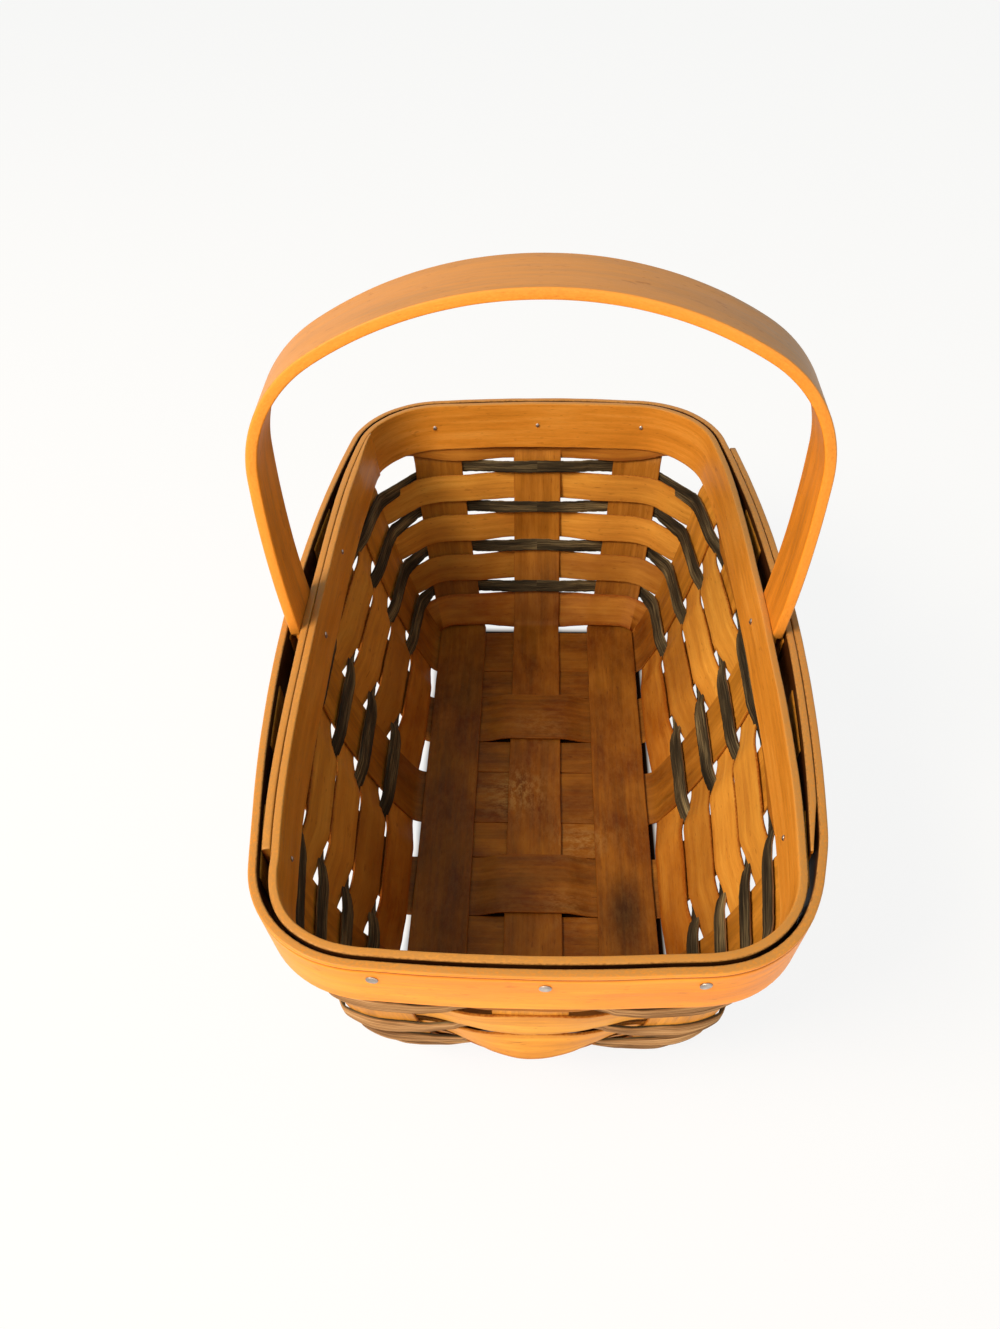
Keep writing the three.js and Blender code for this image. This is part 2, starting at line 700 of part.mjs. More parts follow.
for (const [name, spot] of Object.entries(TACKS)) {
  basket.add(mesh(name, tack(spot), TACK_COLOUR, TACK_ROUGH, 1));
}

export default basket;
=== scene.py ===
# %% [markdown]
# # A small basket woven from flat wood splints
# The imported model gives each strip's place and size. This lesson dresses every strip as the
# split wood it is: rounded and slightly wavy edges, grain that runs along the strip, dyed
# weavers with raised fibres, bent bands round the rim and one bent handle held by tacks.

# %% Load the frame
import math
from functools import partial
import bpy
import numpy as np
from mathutils import Matrix


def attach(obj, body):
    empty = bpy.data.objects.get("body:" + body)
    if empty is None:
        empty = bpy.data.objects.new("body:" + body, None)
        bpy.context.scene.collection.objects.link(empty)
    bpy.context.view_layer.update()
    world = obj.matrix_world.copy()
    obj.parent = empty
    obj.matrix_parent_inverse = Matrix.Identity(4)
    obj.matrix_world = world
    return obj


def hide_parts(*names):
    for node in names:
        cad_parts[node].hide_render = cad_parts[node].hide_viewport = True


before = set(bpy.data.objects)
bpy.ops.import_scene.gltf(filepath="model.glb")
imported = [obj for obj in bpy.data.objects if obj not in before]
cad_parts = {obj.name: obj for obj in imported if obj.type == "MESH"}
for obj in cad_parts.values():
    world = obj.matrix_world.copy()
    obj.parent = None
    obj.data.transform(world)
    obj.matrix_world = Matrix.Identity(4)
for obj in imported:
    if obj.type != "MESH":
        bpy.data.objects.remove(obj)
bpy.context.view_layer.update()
MM = 0.001
SEED = 7
print("nodes in the frame:", len(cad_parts))

# %% [markdown]
# ## The wall as one function
# Every strip lies on the same curved wall, so the wall is written once: a place round the
# basket, a height up the slope and a distance in front of the uprights give a point. The
# sizes are those of the real basket, in millimetres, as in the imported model.

# %% Sizes
GAP = 0.3
SPLINT_T, LONG_W, LONG_PITCH, CROSS_W, FILLER_W = 0.8, 19.0, 30.5, 23.5, 15.0
FILLER_END, SIDE_MARGIN, END_MARGIN = 0.6, 0.6, 1.45
WEAVER_T, TAN_W, DARK_W, ROW_GAP, DARK_ROWS, FOOT_STRIP = 0.7, 11.4, 4.9, 0.45, 4, 0.24
FOOT_RADIUS, LEAN_FOOT, LEAN_RIM = 5.1, math.radians(31.5), math.radians(5.0)
CORNER_FOOT, CORNER_RIM = 7.6, 30.6
END_BOW = (math.radians(2.4), math.radians(5.1))
SIDE_BOW = (math.radians(0.2), math.radians(9.1))
LONG_FAN, CROSS_FAN = 0.35, 0.13
BELLY, BELLY_PEAK, BELLY_TOP, BELLY_HALF = 3.6, 34.0, 50.0, 27.0
BAND_T, BAND_W, BAND_ABOVE_DARK, BAND_TIP_T, UPRIGHT_DROP = 2.4, 18.5, 5.65, 0.7, 2.0
HANDLE_W, HANDLE_T, HANDLE_CHAMFER, HANDLE_SHIFT = 20.0, 3.2, 0.5, -1.0
HANDLE_LEAN, HANDLE_SWAY = math.radians(8.3), 0.013
HANDLE_LEG, SHOULDER_R, SHOULDER_TURN = 54.5, 43.5, math.radians(57)
TAIL_T, TAIL_CLEAR = 1.6, 0.6
HEAD_D, SHANK, CLENCH_L, CLENCH_T, BIG_TACK = 4.1, 1.3, 3.4, 0.6, 1.25

CROSS_PITCH = CROSS_W + FILLER_W + 2 * GAP
HALF_WIDTH = LONG_PITCH + LONG_W / 2 + SIDE_MARGIN
HALF_LENGTH = 2 * CROSS_PITCH + CROSS_W / 2 + END_MARGIN
LEVELS = [SPLINT_T / 2 + k * (SPLINT_T + GAP) for k in range(3)]
FOOT_OUT = FOOT_RADIUS * math.cos(LEAN_FOOT)
FOOT_Z = (LEVELS[0] + LEVELS[1]) / 2 + FOOT_RADIUS * (1 - math.sin(LEAN_FOOT))
ROW_PITCH = TAN_W + DARK_W + 2 * ROW_GAP
DARK_TOP = FOOT_STRIP + DARK_ROWS * ROW_PITCH - ROW_GAP
TOP_ROW = DARK_TOP + ROW_GAP
BAND_FOOT = DARK_TOP + BAND_ABOVE_DARK
WALL_SLOPE = BAND_FOOT + BAND_W
UPRIGHT_TOP = WALL_SLOPE - UPRIGHT_DROP
WEAVE = SPLINT_T / 2 + GAP + WEAVER_T / 2
TAIL_FACE = SPLINT_T / 2 + GAP
TAIL_FOOT = BAND_FOOT + TAIL_CLEAR
CENTRE_SHIFT = -(BAND_T + GAP) / 2
# Places are counted in uprights, clockwise from the middle of the back
UPRIGHTS, HALF_TURN, BACK, RIGHT, FRONT, LEFT = 16, 8, 0, 4, 8, 12

# %% Closer than the plain solids
# The solids keep a clearance to each other, while real bent strips press together. These
# values draw the strips tight, within a few millimetres of the solids.
CLAMP_GAP, BENT_T, BENT_LAP, HANDLE_ROOM = 0.9, 2.3, 2.42, 3.1
RIM_OUTSIDE, RIM_INSET, PINCH, HELD_OVER = 1.3, 0.1, 0.36, 6
FULL_CORNER, FULL_AT, FULL_SPREAD = (1.4, 0.7), 1.4, 0.38
WIDE_FLARE, DYED_FLARE, TUCK, CORNER_PULL = 1.2, 0.9, 0.5, 0.8
DYED_T, DYED_EXTRA, INSIDE_BULGE, CROSS_APART = 1.0, 0.75, 0.35, 0.25
LEAF_FLARE, LEAF_WIDE, FOOT_LEAF, FOOT_DROP = 1.7, (1.8, 1.3), 0.25, 2.9
SAG, RIM_RISE, SAG_AT, SAG_SPREAD = 4.2, 5.8, 1.45, 0.32
HEAD_SMALL, HEAD_LOW, TIP_SHORT, SINK = 0.74, 0.45, 0.55, 0.05
GROOVE_DOWN, GROOVE_W, GROOVE_DEEP = 1.7, 0.36, 0.35
print("wall slope %.2f mm, floor %.1f by %.1f mm" % (WALL_SLOPE, 2 * HALF_WIDTH, 2 * HALF_LENGTH))


# %% Profile and outline
def smooth(x):
    """Eased step: 3x^2 - 2x^3, held at 0 below 0 and at 1 above 1."""
    x = np.clip(x, 0, 1)
    return x * x * (3 - 2 * x)


def mix(a, b, t):
    """Straight blend from a to b."""
    return a + (b - a) * t


def away(p, place, every):
    """Distance, in places, to the nearest of the places place + k * every."""
    return np.abs(p - place - every * np.round((p - place) / every))


def wall(s):
    """Lean, distance outwards and height at slope height s: the lean changes evenly with s.
    Below the foot of the wall the path follows the foot bend's circle instead."""
    s = np.asarray(s, float)
    rate = (LEAN_RIM - LEAN_FOOT) / WALL_SLOPE
    lean = LEAN_FOOT + rate * np.maximum(s, 0)
    out = FOOT_OUT + (math.cos(LEAN_FOOT) - np.cos(lean)) / rate
    z = FOOT_Z + (np.sin(lean) - math.sin(LEAN_FOOT)) / rate
    below = LEAN_FOOT + np.maximum(-s, 0) / FOOT_RADIUS
    out = out + FOOT_RADIUS * (np.cos(below) - math.cos(LEAN_FOOT))
    z = z - FOOT_RADIUS * (np.sin(below) - math.sin(LEAN_FOOT))
    return np.where(s < 0, below, lean), out, z


RIM_OUT = float(wall(WALL_SLOPE)[1])


def quarter(out):
    """A quarter of the outline at a distance outside the floor: radii and end angles of the
    end arc, the corner arc and the side arc, which meet in common tangents."""
    part = np.asarray(out, float) / RIM_OUT
    first = mix(END_BOW[0], END_BOW[1], part)
    last = math.pi / 2 - mix(SIDE_BOW[0], SIDE_BOW[1], part)
    corner = mix(CORNER_FOOT, CORNER_RIM, part)
    across = HALF_WIDTH + out - corner * (np.sin(last) - np.sin(first))
    along = HALF_LENGTH + out - corner * (np.cos(first) - np.cos(last))
    scale = np.sin(first) * np.cos(last) - (1 - np.sin(last)) * (1 - np.cos(first))
    end = (across * np.cos(last) - (1 - np.sin(last)) * along) / scale
    side = (np.sin(first) * along - (1 - np.cos(first)) * across) / scale
    stops = (np.zeros_like(first), first, last, np.full_like(first, math.pi / 2))
    radii = (end, corner, side)
    length = sum(r * (stops[k + 1] - stops[k]) for k, r in enumerate(radii))
    return radii, stops, length


def outline(q, out):
    """Point and outward direction at length q round the outline, from the middle of the back:
    walk the three arcs of a quarter, mirrored into the other three."""
    radii, stops, length = quarter(out)
    turned = np.mod(q, 4 * length)
    quadrant = np.minimum(3, np.floor(turned / length))
    part = turned - quadrant * length
    left = np.where(quadrant % 2 == 1, length - part, part)
    x, y = np.zeros_like(left), HALF_LENGTH + out + np.zeros_like(left)
    angle = np.zeros_like(left)
    for k, radius in enumerate(radii):
        step = np.clip(left, 0, radius * (stops[k + 1] - stops[k]))
        stop = stops[k] + step / radius
        x = x + radius * (np.sin(stop) - np.sin(stops[k]))
        y = y - radius * (np.cos(stops[k]) - np.cos(stop))
        angle = np.where(step > 0, stop, angle)
        left = left - step
    sx = np.where(quadrant < 2, 1.0, -1.0)
    sy = np.where((quadrant == 0) | (quadrant == 3), 1.0, -1.0)
    return sx * x, sy * y, sx * np.sin(angle), sy * np.cos(angle)


def is_end(index):
    """True for the uprights of the two ends, which come from the long splints."""
    return away(index, BACK, HALF_TURN) < 1.5


def upright_at(index, out, length):
    """Length round the outline of an upright's middle; the uprights fan out towards the rim."""
    end = is_end(index)
    first = np.where(end, BACK, RIGHT)
    middle = first + HALF_TURN * np.round((index - first) / HALF_TURN)
    pitch = np.where(end, LONG_PITCH, CROSS_PITCH)
    fan = 1 + np.where(end, LONG_FAN, CROSS_FAN) * out / RIM_OUT
    return middle / RIGHT * length + (index - middle) * pitch * fan


def length_at(p, out, length):
    """Length round the outline at place p: within a quarter of a whole number the place lies
    on that upright, and between two uprights it runs evenly from edge to edge."""
    index = np.round(p)
    off = p - index
    width = np.where(is_end(index), LONG_W, CROSS_W)
    on = upright_at(index, out, length) + 2 * off * width
    low = np.where(off > 0, index, index - 1)
    part = 2 * (p - low - 0.25)
    from_ = upright_at(low, out, length) + np.where(is_end(low), LONG_W, CROSS_W) / 2
    to = upright_at(low + 1, out, length) - np.where(is_end(low + 1), LONG_W, CROSS_W) / 2
    return np.where(np.abs(off) <= 0.25, on, mix(from_, to, part))


def skin(p, s, n):
    """Point of the wall at place p, slope height s and distance n outside the middle of the
    uprights, with the slight belly at the middle of both ends."""
    p, s, n = np.broadcast_arrays(*(np.asarray(v, float) for v in (p, s, n)))
    lean, out, z = wall(s)
    length = quarter(out)[2]
    q = length_at(p, out, length)
    x, y, nx, ny = outline(q, out)
    half = 2 * length
    aside = np.minimum(np.abs(q - half * np.round(q / half)) / BELLY_HALF, 1)
    swell = smooth(s / BELLY_PEAK) * smooth((BELLY_TOP - s) / (BELLY_TOP - BELLY_PEAK))
    distance = n + BELLY * np.cos(aside * math.pi / 2) ** 2 * swell
    level = distance * np.cos(lean)
    return np.stack([x + nx * level, y + ny * level, z - distance * np.sin(lean)], -1)


def rim_middle(p):
    """Middle of the gap between the bands: on the uprights' surface at the front, a little
    outside it round the rest of the rim, and fullest at the two front corners."""
    turned = p - FRONT - UPRIGHTS * np.round((p - FRONT) / UPRIGHTS)
    off = np.abs(turned)
    full = np.where(turned < 0, *FULL_CORNER) * np.exp(-((off - FULL_AT) / FULL_SPREAD) ** 2)
    return RIM_OUTSIDE * smooth(off - 0.9) + full - RIM_INSET


def woven(p, s, n):
    """Point of a woven strip: as skin, but pressed together where the bands clamp it."""
    p, s, n = np.broadcast_arrays(*(np.asarray(v, float) for v in (p, s, n)))
    held = smooth((s - BAND_FOOT + HELD_OVER) / HELD_OVER)
    return skin(p, s, mix(n, rim_middle(p) + PINCH * n, held))


print("mouth at the rim:", np.round(skin([BACK, RIGHT, FRONT, LEFT], WALL_SLOPE, 0), 1).tolist())


# %% [markdown]
# ## Noise that belongs to the strip
# Split wood is never quite straight. A displacement texture could wobble it, but a sum of a
# few sines with phases from a seeded generator gives a soft wander that is the same on each
# run, fits a closed hoop, and is computed for whole arrays.

# %% Wander
WANDER_SUM = 2.2


def wander(x, name, wave, octaves=4, period=None):
    """Sum of sines, as a column: each octave has half the wavelength and 0.6 of the height of
    the last. On a closed hoop each wavelength is rounded to a whole share of the period. The
    name seeds the phases, so each strip has its own but keeps it from run to run. Divided by
    WANDER_SUM, the heights of four octaves together, it stays within about 1."""
    rng = np.random.default_rng([SEED] + [ord(c) for c in name])
    total, height = np.zeros_like(np.asarray(x, float)), 1.0
    for _ in range(octaves):
        cycles = rng.uniform(0.8, 1.25) / wave
        if period:
            cycles = max(1, round(cycles * period)) / period
        total = total + height * np.sin(2 * math.pi * (x * cycles + rng.uniform(0, 1)))
        wave, height = wave / 2, height * 0.6
    return total[:, None] / WANDER_SUM


print("wander at 0 to 40 mm:", np.round(wander(np.arange(0, 50, 10), "sample", 40)[:, 0], 2))


# %% [markdown]
# ## From rings of points to a mesh
# A strip is a closed section carried along a path. The mesh also keeps, on each face corner,
# how far along the strip, across it and through it that corner lies. The wood material reads
# this, so the grain runs along each strip wherever the strip bends.

# %% Strip mesh
pieces = {}


def in_scene(name, data):
    """A new object that shows the data, put into the scene."""
    made = bpy.data.objects.new(name, data)
    bpy.context.scene.collection.objects.link(made)
    return made


def strip_mesh(name, points, along, across, depth, closed, groove=None):
    """points is (rings, section, 3) in millimetres; along, across and depth give the strip's
    own coordinates. Quads join neighbouring rings, and flat caps close an open strip."""
    rings, size = points.shape[:2]
    r, k = np.meshgrid(np.arange(rings if closed else rings - 1), np.arange(size), indexing="ij")
    next_k = (k + 1) % size
    corner_r = np.stack([r, r, r + 1, r + 1], -1)
    corner_k = np.stack([k, next_k, next_k, k], -1)
    quads = ((corner_r % rings) * size + corner_k).reshape(-1, 4)
    quad_k = corner_k.reshape(-1)
    flat = points.reshape(-1, 3)
    a, b, c, d = (flat[quads[:, i]] for i in range(4))
    volume = np.sum(np.cross(b - a, c - a) * a) + np.sum(np.cross(c - a, d - a) * a)
    faces = [quads]
    sets = [np.stack([along[corner_r].reshape(-1), across[quad_k], depth[quad_k]], -1)]
    if not closed:
        j = np.arange(size // 2 - 1)
        first = np.stack([size - 1 - j, size - 2 - j, j + 1, j], -1)
        last = first[:, ::-1] + (rings - 1) * size
        faces += [first, last]
        for cap, u in ((first, along[0]), (first[:, ::-1], along[rings - 1])):
            ks = cap.reshape(-1)
            sets.append(np.stack([np.full(ks.shape, u), across[ks], depth[ks]], -1))
    faces = np.concatenate(faces)
    grain = np.concatenate(sets).reshape(-1, 4, 3)
    if volume < 0:
        faces, grain = faces[:, ::-1], grain[:, ::-1]
    mesh = bpy.data.meshes.new(name)
    mesh.vertices.add(len(flat))
    mesh.vertices.foreach_set("co", ((flat + [CENTRE_SHIFT, 0, 0]) * MM).reshape(-1))
    mesh.loops.add(faces.size)
    mesh.loops.foreach_set("vertex_index", faces.reshape(-1).astype(np.int32))
    mesh.polygons.add(len(faces))
    mesh.polygons.foreach_set("loop_start", np.arange(0, faces.size, 4, dtype=np.int32))
    mesh.polygons.foreach_set("use_smooth", np.arange(len(faces)) < len(quads))
    layer = mesh.attributes.new("grain", "FLOAT_VECTOR", "CORNER")
    layer.data.foreach_set("vector", (grain * MM).reshape(-1))
    # The groove attribute also carries the mark for painted shade on band faces turned to the
    # weave
    if groove is not None:
        layer = mesh.attributes.new("groove", "FLOAT", "POINT")
        layer.data.foreach_set("value", groove.reshape(-1).astype(np.float32))
    mesh.update(calc_edges=True)
    mesh.validate()
    pieces[name] = in_scene(name, mesh)


CORNER_STEPS = 3


def section(width, thick, round_, count, turns=CORNER_STEPS):
    """Rounded rectangle, across and depth of each point: a quarter circle, the outer face and
    another quarter circle, then the same points with their depth turned round, back along the
    inner face. Point i lies opposite point size - 1 - i. One more point close to each end of a
    face keeps it flat in the shading."""
    half, deep = width / 2 - round_, thick / 2 - round_
    turn = np.linspace(0, math.pi / 2, turns + 1)[:-1]
    low = np.stack([-half - round_ * np.cos(turn), deep + round_ * np.sin(turn)], -1)
    face = np.linspace(-half, half, count)
    near = np.array([0.25 * round_ + 0.06])
    face = np.concatenate([face[:1], face[:1] + near, face[1:-1], face[-1:] - near, face[-1:]])
    face = np.stack([face, np.full(len(face), thick / 2)], -1)
    upper = np.concatenate([low, face, low[::-1] * [-1, 1]])
    return np.concatenate([upper, upper[::-1] * [1, -1]]).T


def length_along(path):
    """Distance run along a path, added up from point to point."""
    return np.concatenate([[0], np.cumsum(np.linalg.norm(np.diff(path, axis=0), axis=1))])


def chord(p, low, high, part, n, face=skin):
    """Point at a share of the straight line between two slope heights of the wall."""
    return mix(face(p, low, n), face(p, high, n), part[..., None])


print("points round a wide weaver's section:", len(section(TAN_W, WEAVER_T, 0.22, 9)[0]))

# %% [markdown]
# ## Weavers
# The wide natural weavers pass outside the middle upright of each side and inside the next;
# the narrow dyed ones do the opposite. A cloth or curve tool could bend a strip, but one
# formula for the offset keeps every crossing exact: flat against an upright, eased over in
# the open between two. The edges wander a little, and the face is very slightly crowned.

# %% Offsets of the weave
def side_offset(p, outside_even):
    """Distance in front of the uprights: plus or minus one weave, eased between uprights."""
    def side(index):
        return np.where((np.mod(index, 2) == 0) == outside_even, WEAVE, -WEAVE)
    index = np.round(p)
    low = np.where(p > index, index, index - 1)
    part = 2 * (p - low - 0.25)
    return np.where(np.abs(p - index) <= 0.25, side(index),
                    mix(side(low), side(low + 1), smooth(part)))


def end_share(p):
    """1 on the three uprights of either end, 0 along the sides."""
    return 1 - smooth((away(p, BACK, HALF_TURN) - 1.3) / 0.5)


def pull_corners(points, p, amount):
    """Draw a hoop tight between the last upright of an end and the first of a side: mix each
    point with the straight line between the two, with an eased start and end."""
    pulled = points.copy()
    for start in (1.25, 6.25, 9.25, 14.25):
        span = np.nonzero((p >= start - 1e-6) & (p <= start + 0.5 + 1e-6))[0]
        t = ((p[span] - start) / 0.5)[:, None, None]
        line = mix(points[span[0]], points[span[-1]], t)
        weight = amount * smooth(t / 0.22) * smooth((1 - t) / 0.22)
        pulled[span] = mix(points[span], line, weight)
    return pulled


print("offset of a wide weaver from BACK on, mm:", side_offset(np.arange(0, 1.3, 0.25), True))

# %% Wide and narrow weavers
# Thickness, edge radius, rings from one upright to the next, points across each face
RIDGES = 5
WIDE_STRIP = (WEAVER_T, 0.22, 40, 9)
DYED_STRIP = (DYED_T, 0.3, 60, 8 * RIDGES + 1)
EDGE_WANDER, CROWN, RIDGE, RIDGE_MEAN, FRAY = 0.16, 0.06, 0.13, 0.75, 0.13
UNEVEN, WAVY, LOWEST = 0.08, 0.07, 0.02
LEAF_LEAN, LEAF_EDGE, DYED_REACH = (0.56, 0.3), (0.55, 0.2), (0.45, 0.3)
DYED_WIDER, DYED_NARROWER = 0.5, 0.45


def weaver(name, low, width, dyed=False, flare=0.0, pull=CORNER_PULL, leaf_low=1.0, sag=0.0):
    """Closed hoop. Across: low edge to high edge on a straight line up the wall. Depth: the
    offset of the weave plus the section's own depth, with a crown and, on dyed strips, rounded
    ridges. At the ends the low edge flares off the upright. Where a wide strip runs inside a
    side, it widens and its low edge leans in by leaf_low; a dyed one widens where it runs
    outside. Near the back corners the hoop sags, or rises where sag is below 0. Nothing dips
    below the floor."""
    thick, round_, steps, count = DYED_STRIP if dyed else WIDE_STRIP
    across, depth = section(width, thick, round_, count)
    share = across / width + 0.5
    p = np.arange(UPRIGHTS * steps) / steps
    middle = skin(p, low + width / 2, 0)
    run = length_along(np.concatenate([middle, middle[:1]]))

    def soft(key, wave, octaves=4):
        return wander(run[:-1], name + key, wave, octaves, run[-1])

    edge_high, edge_low = EDGE_WANDER * soft("high", 38), EDGE_WANDER * soft("low", 31)
    crown = CROWN * (1 - (2 * share - 1) ** 2)
    if dyed:
        edge_high = edge_high + FRAY * soft("fray", 5.5, 5)
        edge_low = edge_low + FRAY * soft("frey", 4.6, 5)
        crown = crown + RIDGE * (np.abs(np.cos(math.pi * RIDGES * share)) ** 0.7 - RIDGE_MEAN)
    shift = mix(edge_low, edge_high, share)
    lift = np.sign(depth) * crown * (np.abs(depth) > thick / 2 - round_ * 0.7)

    # The thicker dyed strip stands off further, and inside every strip bulges a little more
    side = side_offset(p, not dyed)[:, None]
    side = side + np.sign(side) * (thick - WEAVER_T) / 2
    side = side - INSIDE_BULGE * smooth(-side / WEAVE)
    n = side + (depth + lift) * (1 + UNEVEN * soft("thick", 55)) + WAVY * soft("wave", 26)
    # Outside an upright of the ends, the low edge flares off and the high edge is tucked in
    ends = end_share(p)[:, None]
    lens = np.cos(math.pi * (p - np.round(p)))[:, None] ** 2
    n = n + smooth(side / WEAVE) * lens * ends * (flare * (1 - share) - TUCK * share)
    # Half-way between two uprights of a side, dyed strips stand further out than wide ones
    between = np.clip(away(p, 0, 1) - 0.25, 0, 0.25)[:, None]
    apart = CROSS_APART if dyed else -CROSS_APART
    n = n + apart * np.sin(2 * math.pi * between) * (1 - ends)

    inside = (1 - ends) * pull
    off = away(p, 0 if dyed else 1, 2)[:, None]
    if dyed:
        wider = DYED_WIDER * inside * smooth((DYED_REACH[0] - off) / DYED_REACH[1])
        shift = shift + (wider - DYED_NARROWER * ends) * (2 * share - 1)
    else:
        lean = leaf_low * inside * smooth((LEAF_LEAN[0] - off) / LEAF_LEAN[1])
        n = n - LEAF_FLARE * lean * (1 - share) ** 1.5
        leaf = inside * (1 - smooth((off - LEAF_EDGE[0]) / LEAF_EDGE[1]))
        low_wide, high_wide = LEAF_WIDE
        shift = shift + leaf * (high_wide * share - low_wide * leaf_low * (1 - share))
    back = away(p, BACK, UPRIGHTS)[:, None]
    shift = shift - sag * np.exp(-((back - SAG_AT) / SAG_SPREAD) ** 2)
    points = chord(p[:, None], low, low + width, share + shift / width, n, woven)
    if pull:
        points = pull_corners(points, p, pull)
    points[..., 2] = np.maximum(points[..., 2], LOWEST)
    strip_mesh(name, points, run, across, depth, closed=True)


for row in range(DARK_ROWS):
    number, start = DARK_ROWS - row, FOOT_STRIP + row * ROW_PITCH
    drop = 0 if row else FOOT_DROP
    weaver("wide_weaver_%d" % number, start - drop, TAN_W + drop, flare=WIDE_FLARE,
           leaf_low=1.0 if row else FOOT_LEAF)
    weaver("dyed_weaver_%d" % number, start + TAN_W + ROW_GAP - DYED_EXTRA / 2,
           DARK_W + DYED_EXTRA, dyed=True, flare=DYED_FLARE * (number > 1),
           sag=SAG * (number == 1))
weaver("rim_weaver", TOP_ROW, TAN_W, pull=0.0, sag=-RIM_RISE)
print("weavers:", len(pieces))

# %% [markdown]
# ## Splints
# Three long splints lie along the floor and turn up at both ends; five cross splints lie
# under them and turn up at the sides. Two of the five step over the middle long splint. Each
# is one strip from rim to rim, so it is one grid: floor, foot bend and wall are three
# formulas that meet in the same points.

# %% Splints
BEND_RINGS, WALL_RINGS, FLOOR_STEP = 14, 86, 1.5
SPLINT_ROUND, SPLINT_WANDER, SPLINT_RIPPLE = 0.25, 0.14, 0.05


def bend_rings(level, half, centre, width, fan, p, lay, share, depth):
    """Foot bend: the middle follows a circle from flat to the lean of the wall, while the
    direction outwards turns from the strip's own to the wall's."""
    turn = math.pi / 2 - LEAN_FOOT
    radius = (FOOT_Z - level) / (1 - math.cos(turn))
    start = FOOT_OUT - radius * math.sin(turn)
    part = np.linspace(0, 1, BEND_RINGS)[:, None]
    angle = part * turn
    out = start + radius * np.sin(angle)
    z = level + radius * (1 - np.cos(angle))
    middle = centre * (1 + fan * np.maximum(0, out) / RIM_OUT)
    length = quarter(FOOT_OUT)[2]
    ox, oy, nx, ny = outline(length_at(p, FOOT_OUT, length), FOOT_OUT)
    fx, fy = lay(half + FOOT_OUT, centre * (1 + fan * FOOT_OUT / RIM_OUT) + share * width)
    ax, ay = lay(1.0, 0.0)
    bx, by = mix(ax, nx, part), mix(ay, ny, part)
    size = np.hypot(bx, by)
    x, y = lay(half + out, middle + share * width)
    x = x + part * (ox - fx) + bx / size * depth * np.sin(angle)
    y = y + part * (oy - fy) + by / size * depth * np.sin(angle)
    return np.stack([x, y, z - depth * np.cos(angle)], -1)


def splint(name, level, half, centre, width, fan, ends, step_over=False):
    """Rings from one rim over the floor to the other. ends holds, for both ends, the place of
    the upright, the sense in which places run across it, and how the strip is laid."""
    across, depth = section(width, SPLINT_T, SPLINT_ROUND, 13)
    share = across / width
    halves = []
    for place, sense, lay in ends:
        p = place + 0.5 * sense * share
        bent = bend_rings(level, half, centre, width, fan, p, lay, share, depth)
        climb = np.linspace(0, UPRIGHT_TOP, WALL_RINGS)[1:, None]
        halves.append((bent, woven(p, climb, depth)))
    (bent_a, up_a), (bent_b, up_b) = halves
    t = np.linspace(0, 1, int(2 * half / FLOOR_STEP))[1:-1, None, None]
    floor = mix(bent_a[0], bent_b[0], t)
    if step_over:
        from_, to = LONG_PITCH - LONG_W / 2 - GAP, LONG_W / 2 + GAP
        lift = smooth((from_ - np.abs(floor[..., 0])) / (from_ - to))
        floor[..., 2] += (LEVELS[2] - LEVELS[0]) * lift
    points = np.concatenate([up_a[::-1], bent_a[::-1], floor, bent_b, up_b])
    run = length_along(points.mean(1))
    one_edge = SPLINT_WANDER * wander(run, name + "a", 44)
    other_edge = SPLINT_WANDER * wander(run, name + "b", 37)
    along = np.gradient(points, axis=0)
    sideways = points[:, len(share) // 2 - CORNER_STEPS] - points[:, CORNER_STEPS]
    sideways /= np.linalg.norm(sideways, axis=1)[:, None]
    shift = mix(one_edge, other_edge, share + 0.5)
    points = points + sideways[:, None] * shift[..., None]
    normal = np.cross(along, sideways[:, None])
    normal /= np.linalg.norm(normal, axis=-1)[..., None]
    ripple = SPLINT_RIPPLE * wander(run, name + "c", 30)
    points = points + normal * ripple[..., None]
    strip_mesh(name, points, run, across, depth, closed=False)


for column, side in zip((-1, 0, 1), ("left", "centre", "right")):
    ends = [(FRONT - column, -1, lambda u, w: (w, -u)), (BACK + column, 1, lambda u, w: (w, u))]
    splint("long_splint_" + side, LEVELS[1], HALF_LENGTH, column * LONG_PITCH, LONG_W,
           LONG_FAN, ends)
for row in range(5):
    ends = [(LEFT + 2 - row, 1, lambda u, w: (-u, w)), (RIGHT - 2 + row, -1, lambda u, w: (u, w))]
    splint("cross_splint_%d" % (row + 1), LEVELS[0], HALF_WIDTH, (2 - row) * CROSS_PITCH,
           CROSS_W, CROSS_FAN, ends, step_over=row % 2 == 1)
print("splints:", [n for n in pieces if "splint" in n])

# %% [markdown]
# Four short strips close the floor between the cross splints. They are flat and end under
# the walls, so a box would nearly do; the same section keeps their edges like the others.

# %% Short floor strips
STRIP_RINGS, STRIP_WANDER = 70, 0.15


def floor_strip(name, y):
    """Flat strip across the floor, its two edges wandering."""
    across, depth = section(FILLER_W, SPLINT_T, SPLINT_ROUND, 11)
    end = HALF_WIDTH - FILLER_END
    x = np.linspace(-end, end, STRIP_RINGS)
    one_edge, other_edge = wander(x, name + "a", 40), wander(x, name + "b", 33)
    edge = mix(STRIP_WANDER * one_edge, STRIP_WANDER * other_edge, across / FILLER_W + 0.5)
    points = np.stack(np.broadcast_arrays(x[:, None], y + across + edge,
                                          SPLINT_T / 2 + depth), -1)
    strip_mesh(name, points, x - x[0], across, depth, closed=False)


for row in range(4):
    floor_strip("floor_strip_%d" % (row + 1), (1.5 - row) * CROSS_PITCH)
print("short floor strips:", len([n for n in pieces if n.startswith("floor_strip")]))

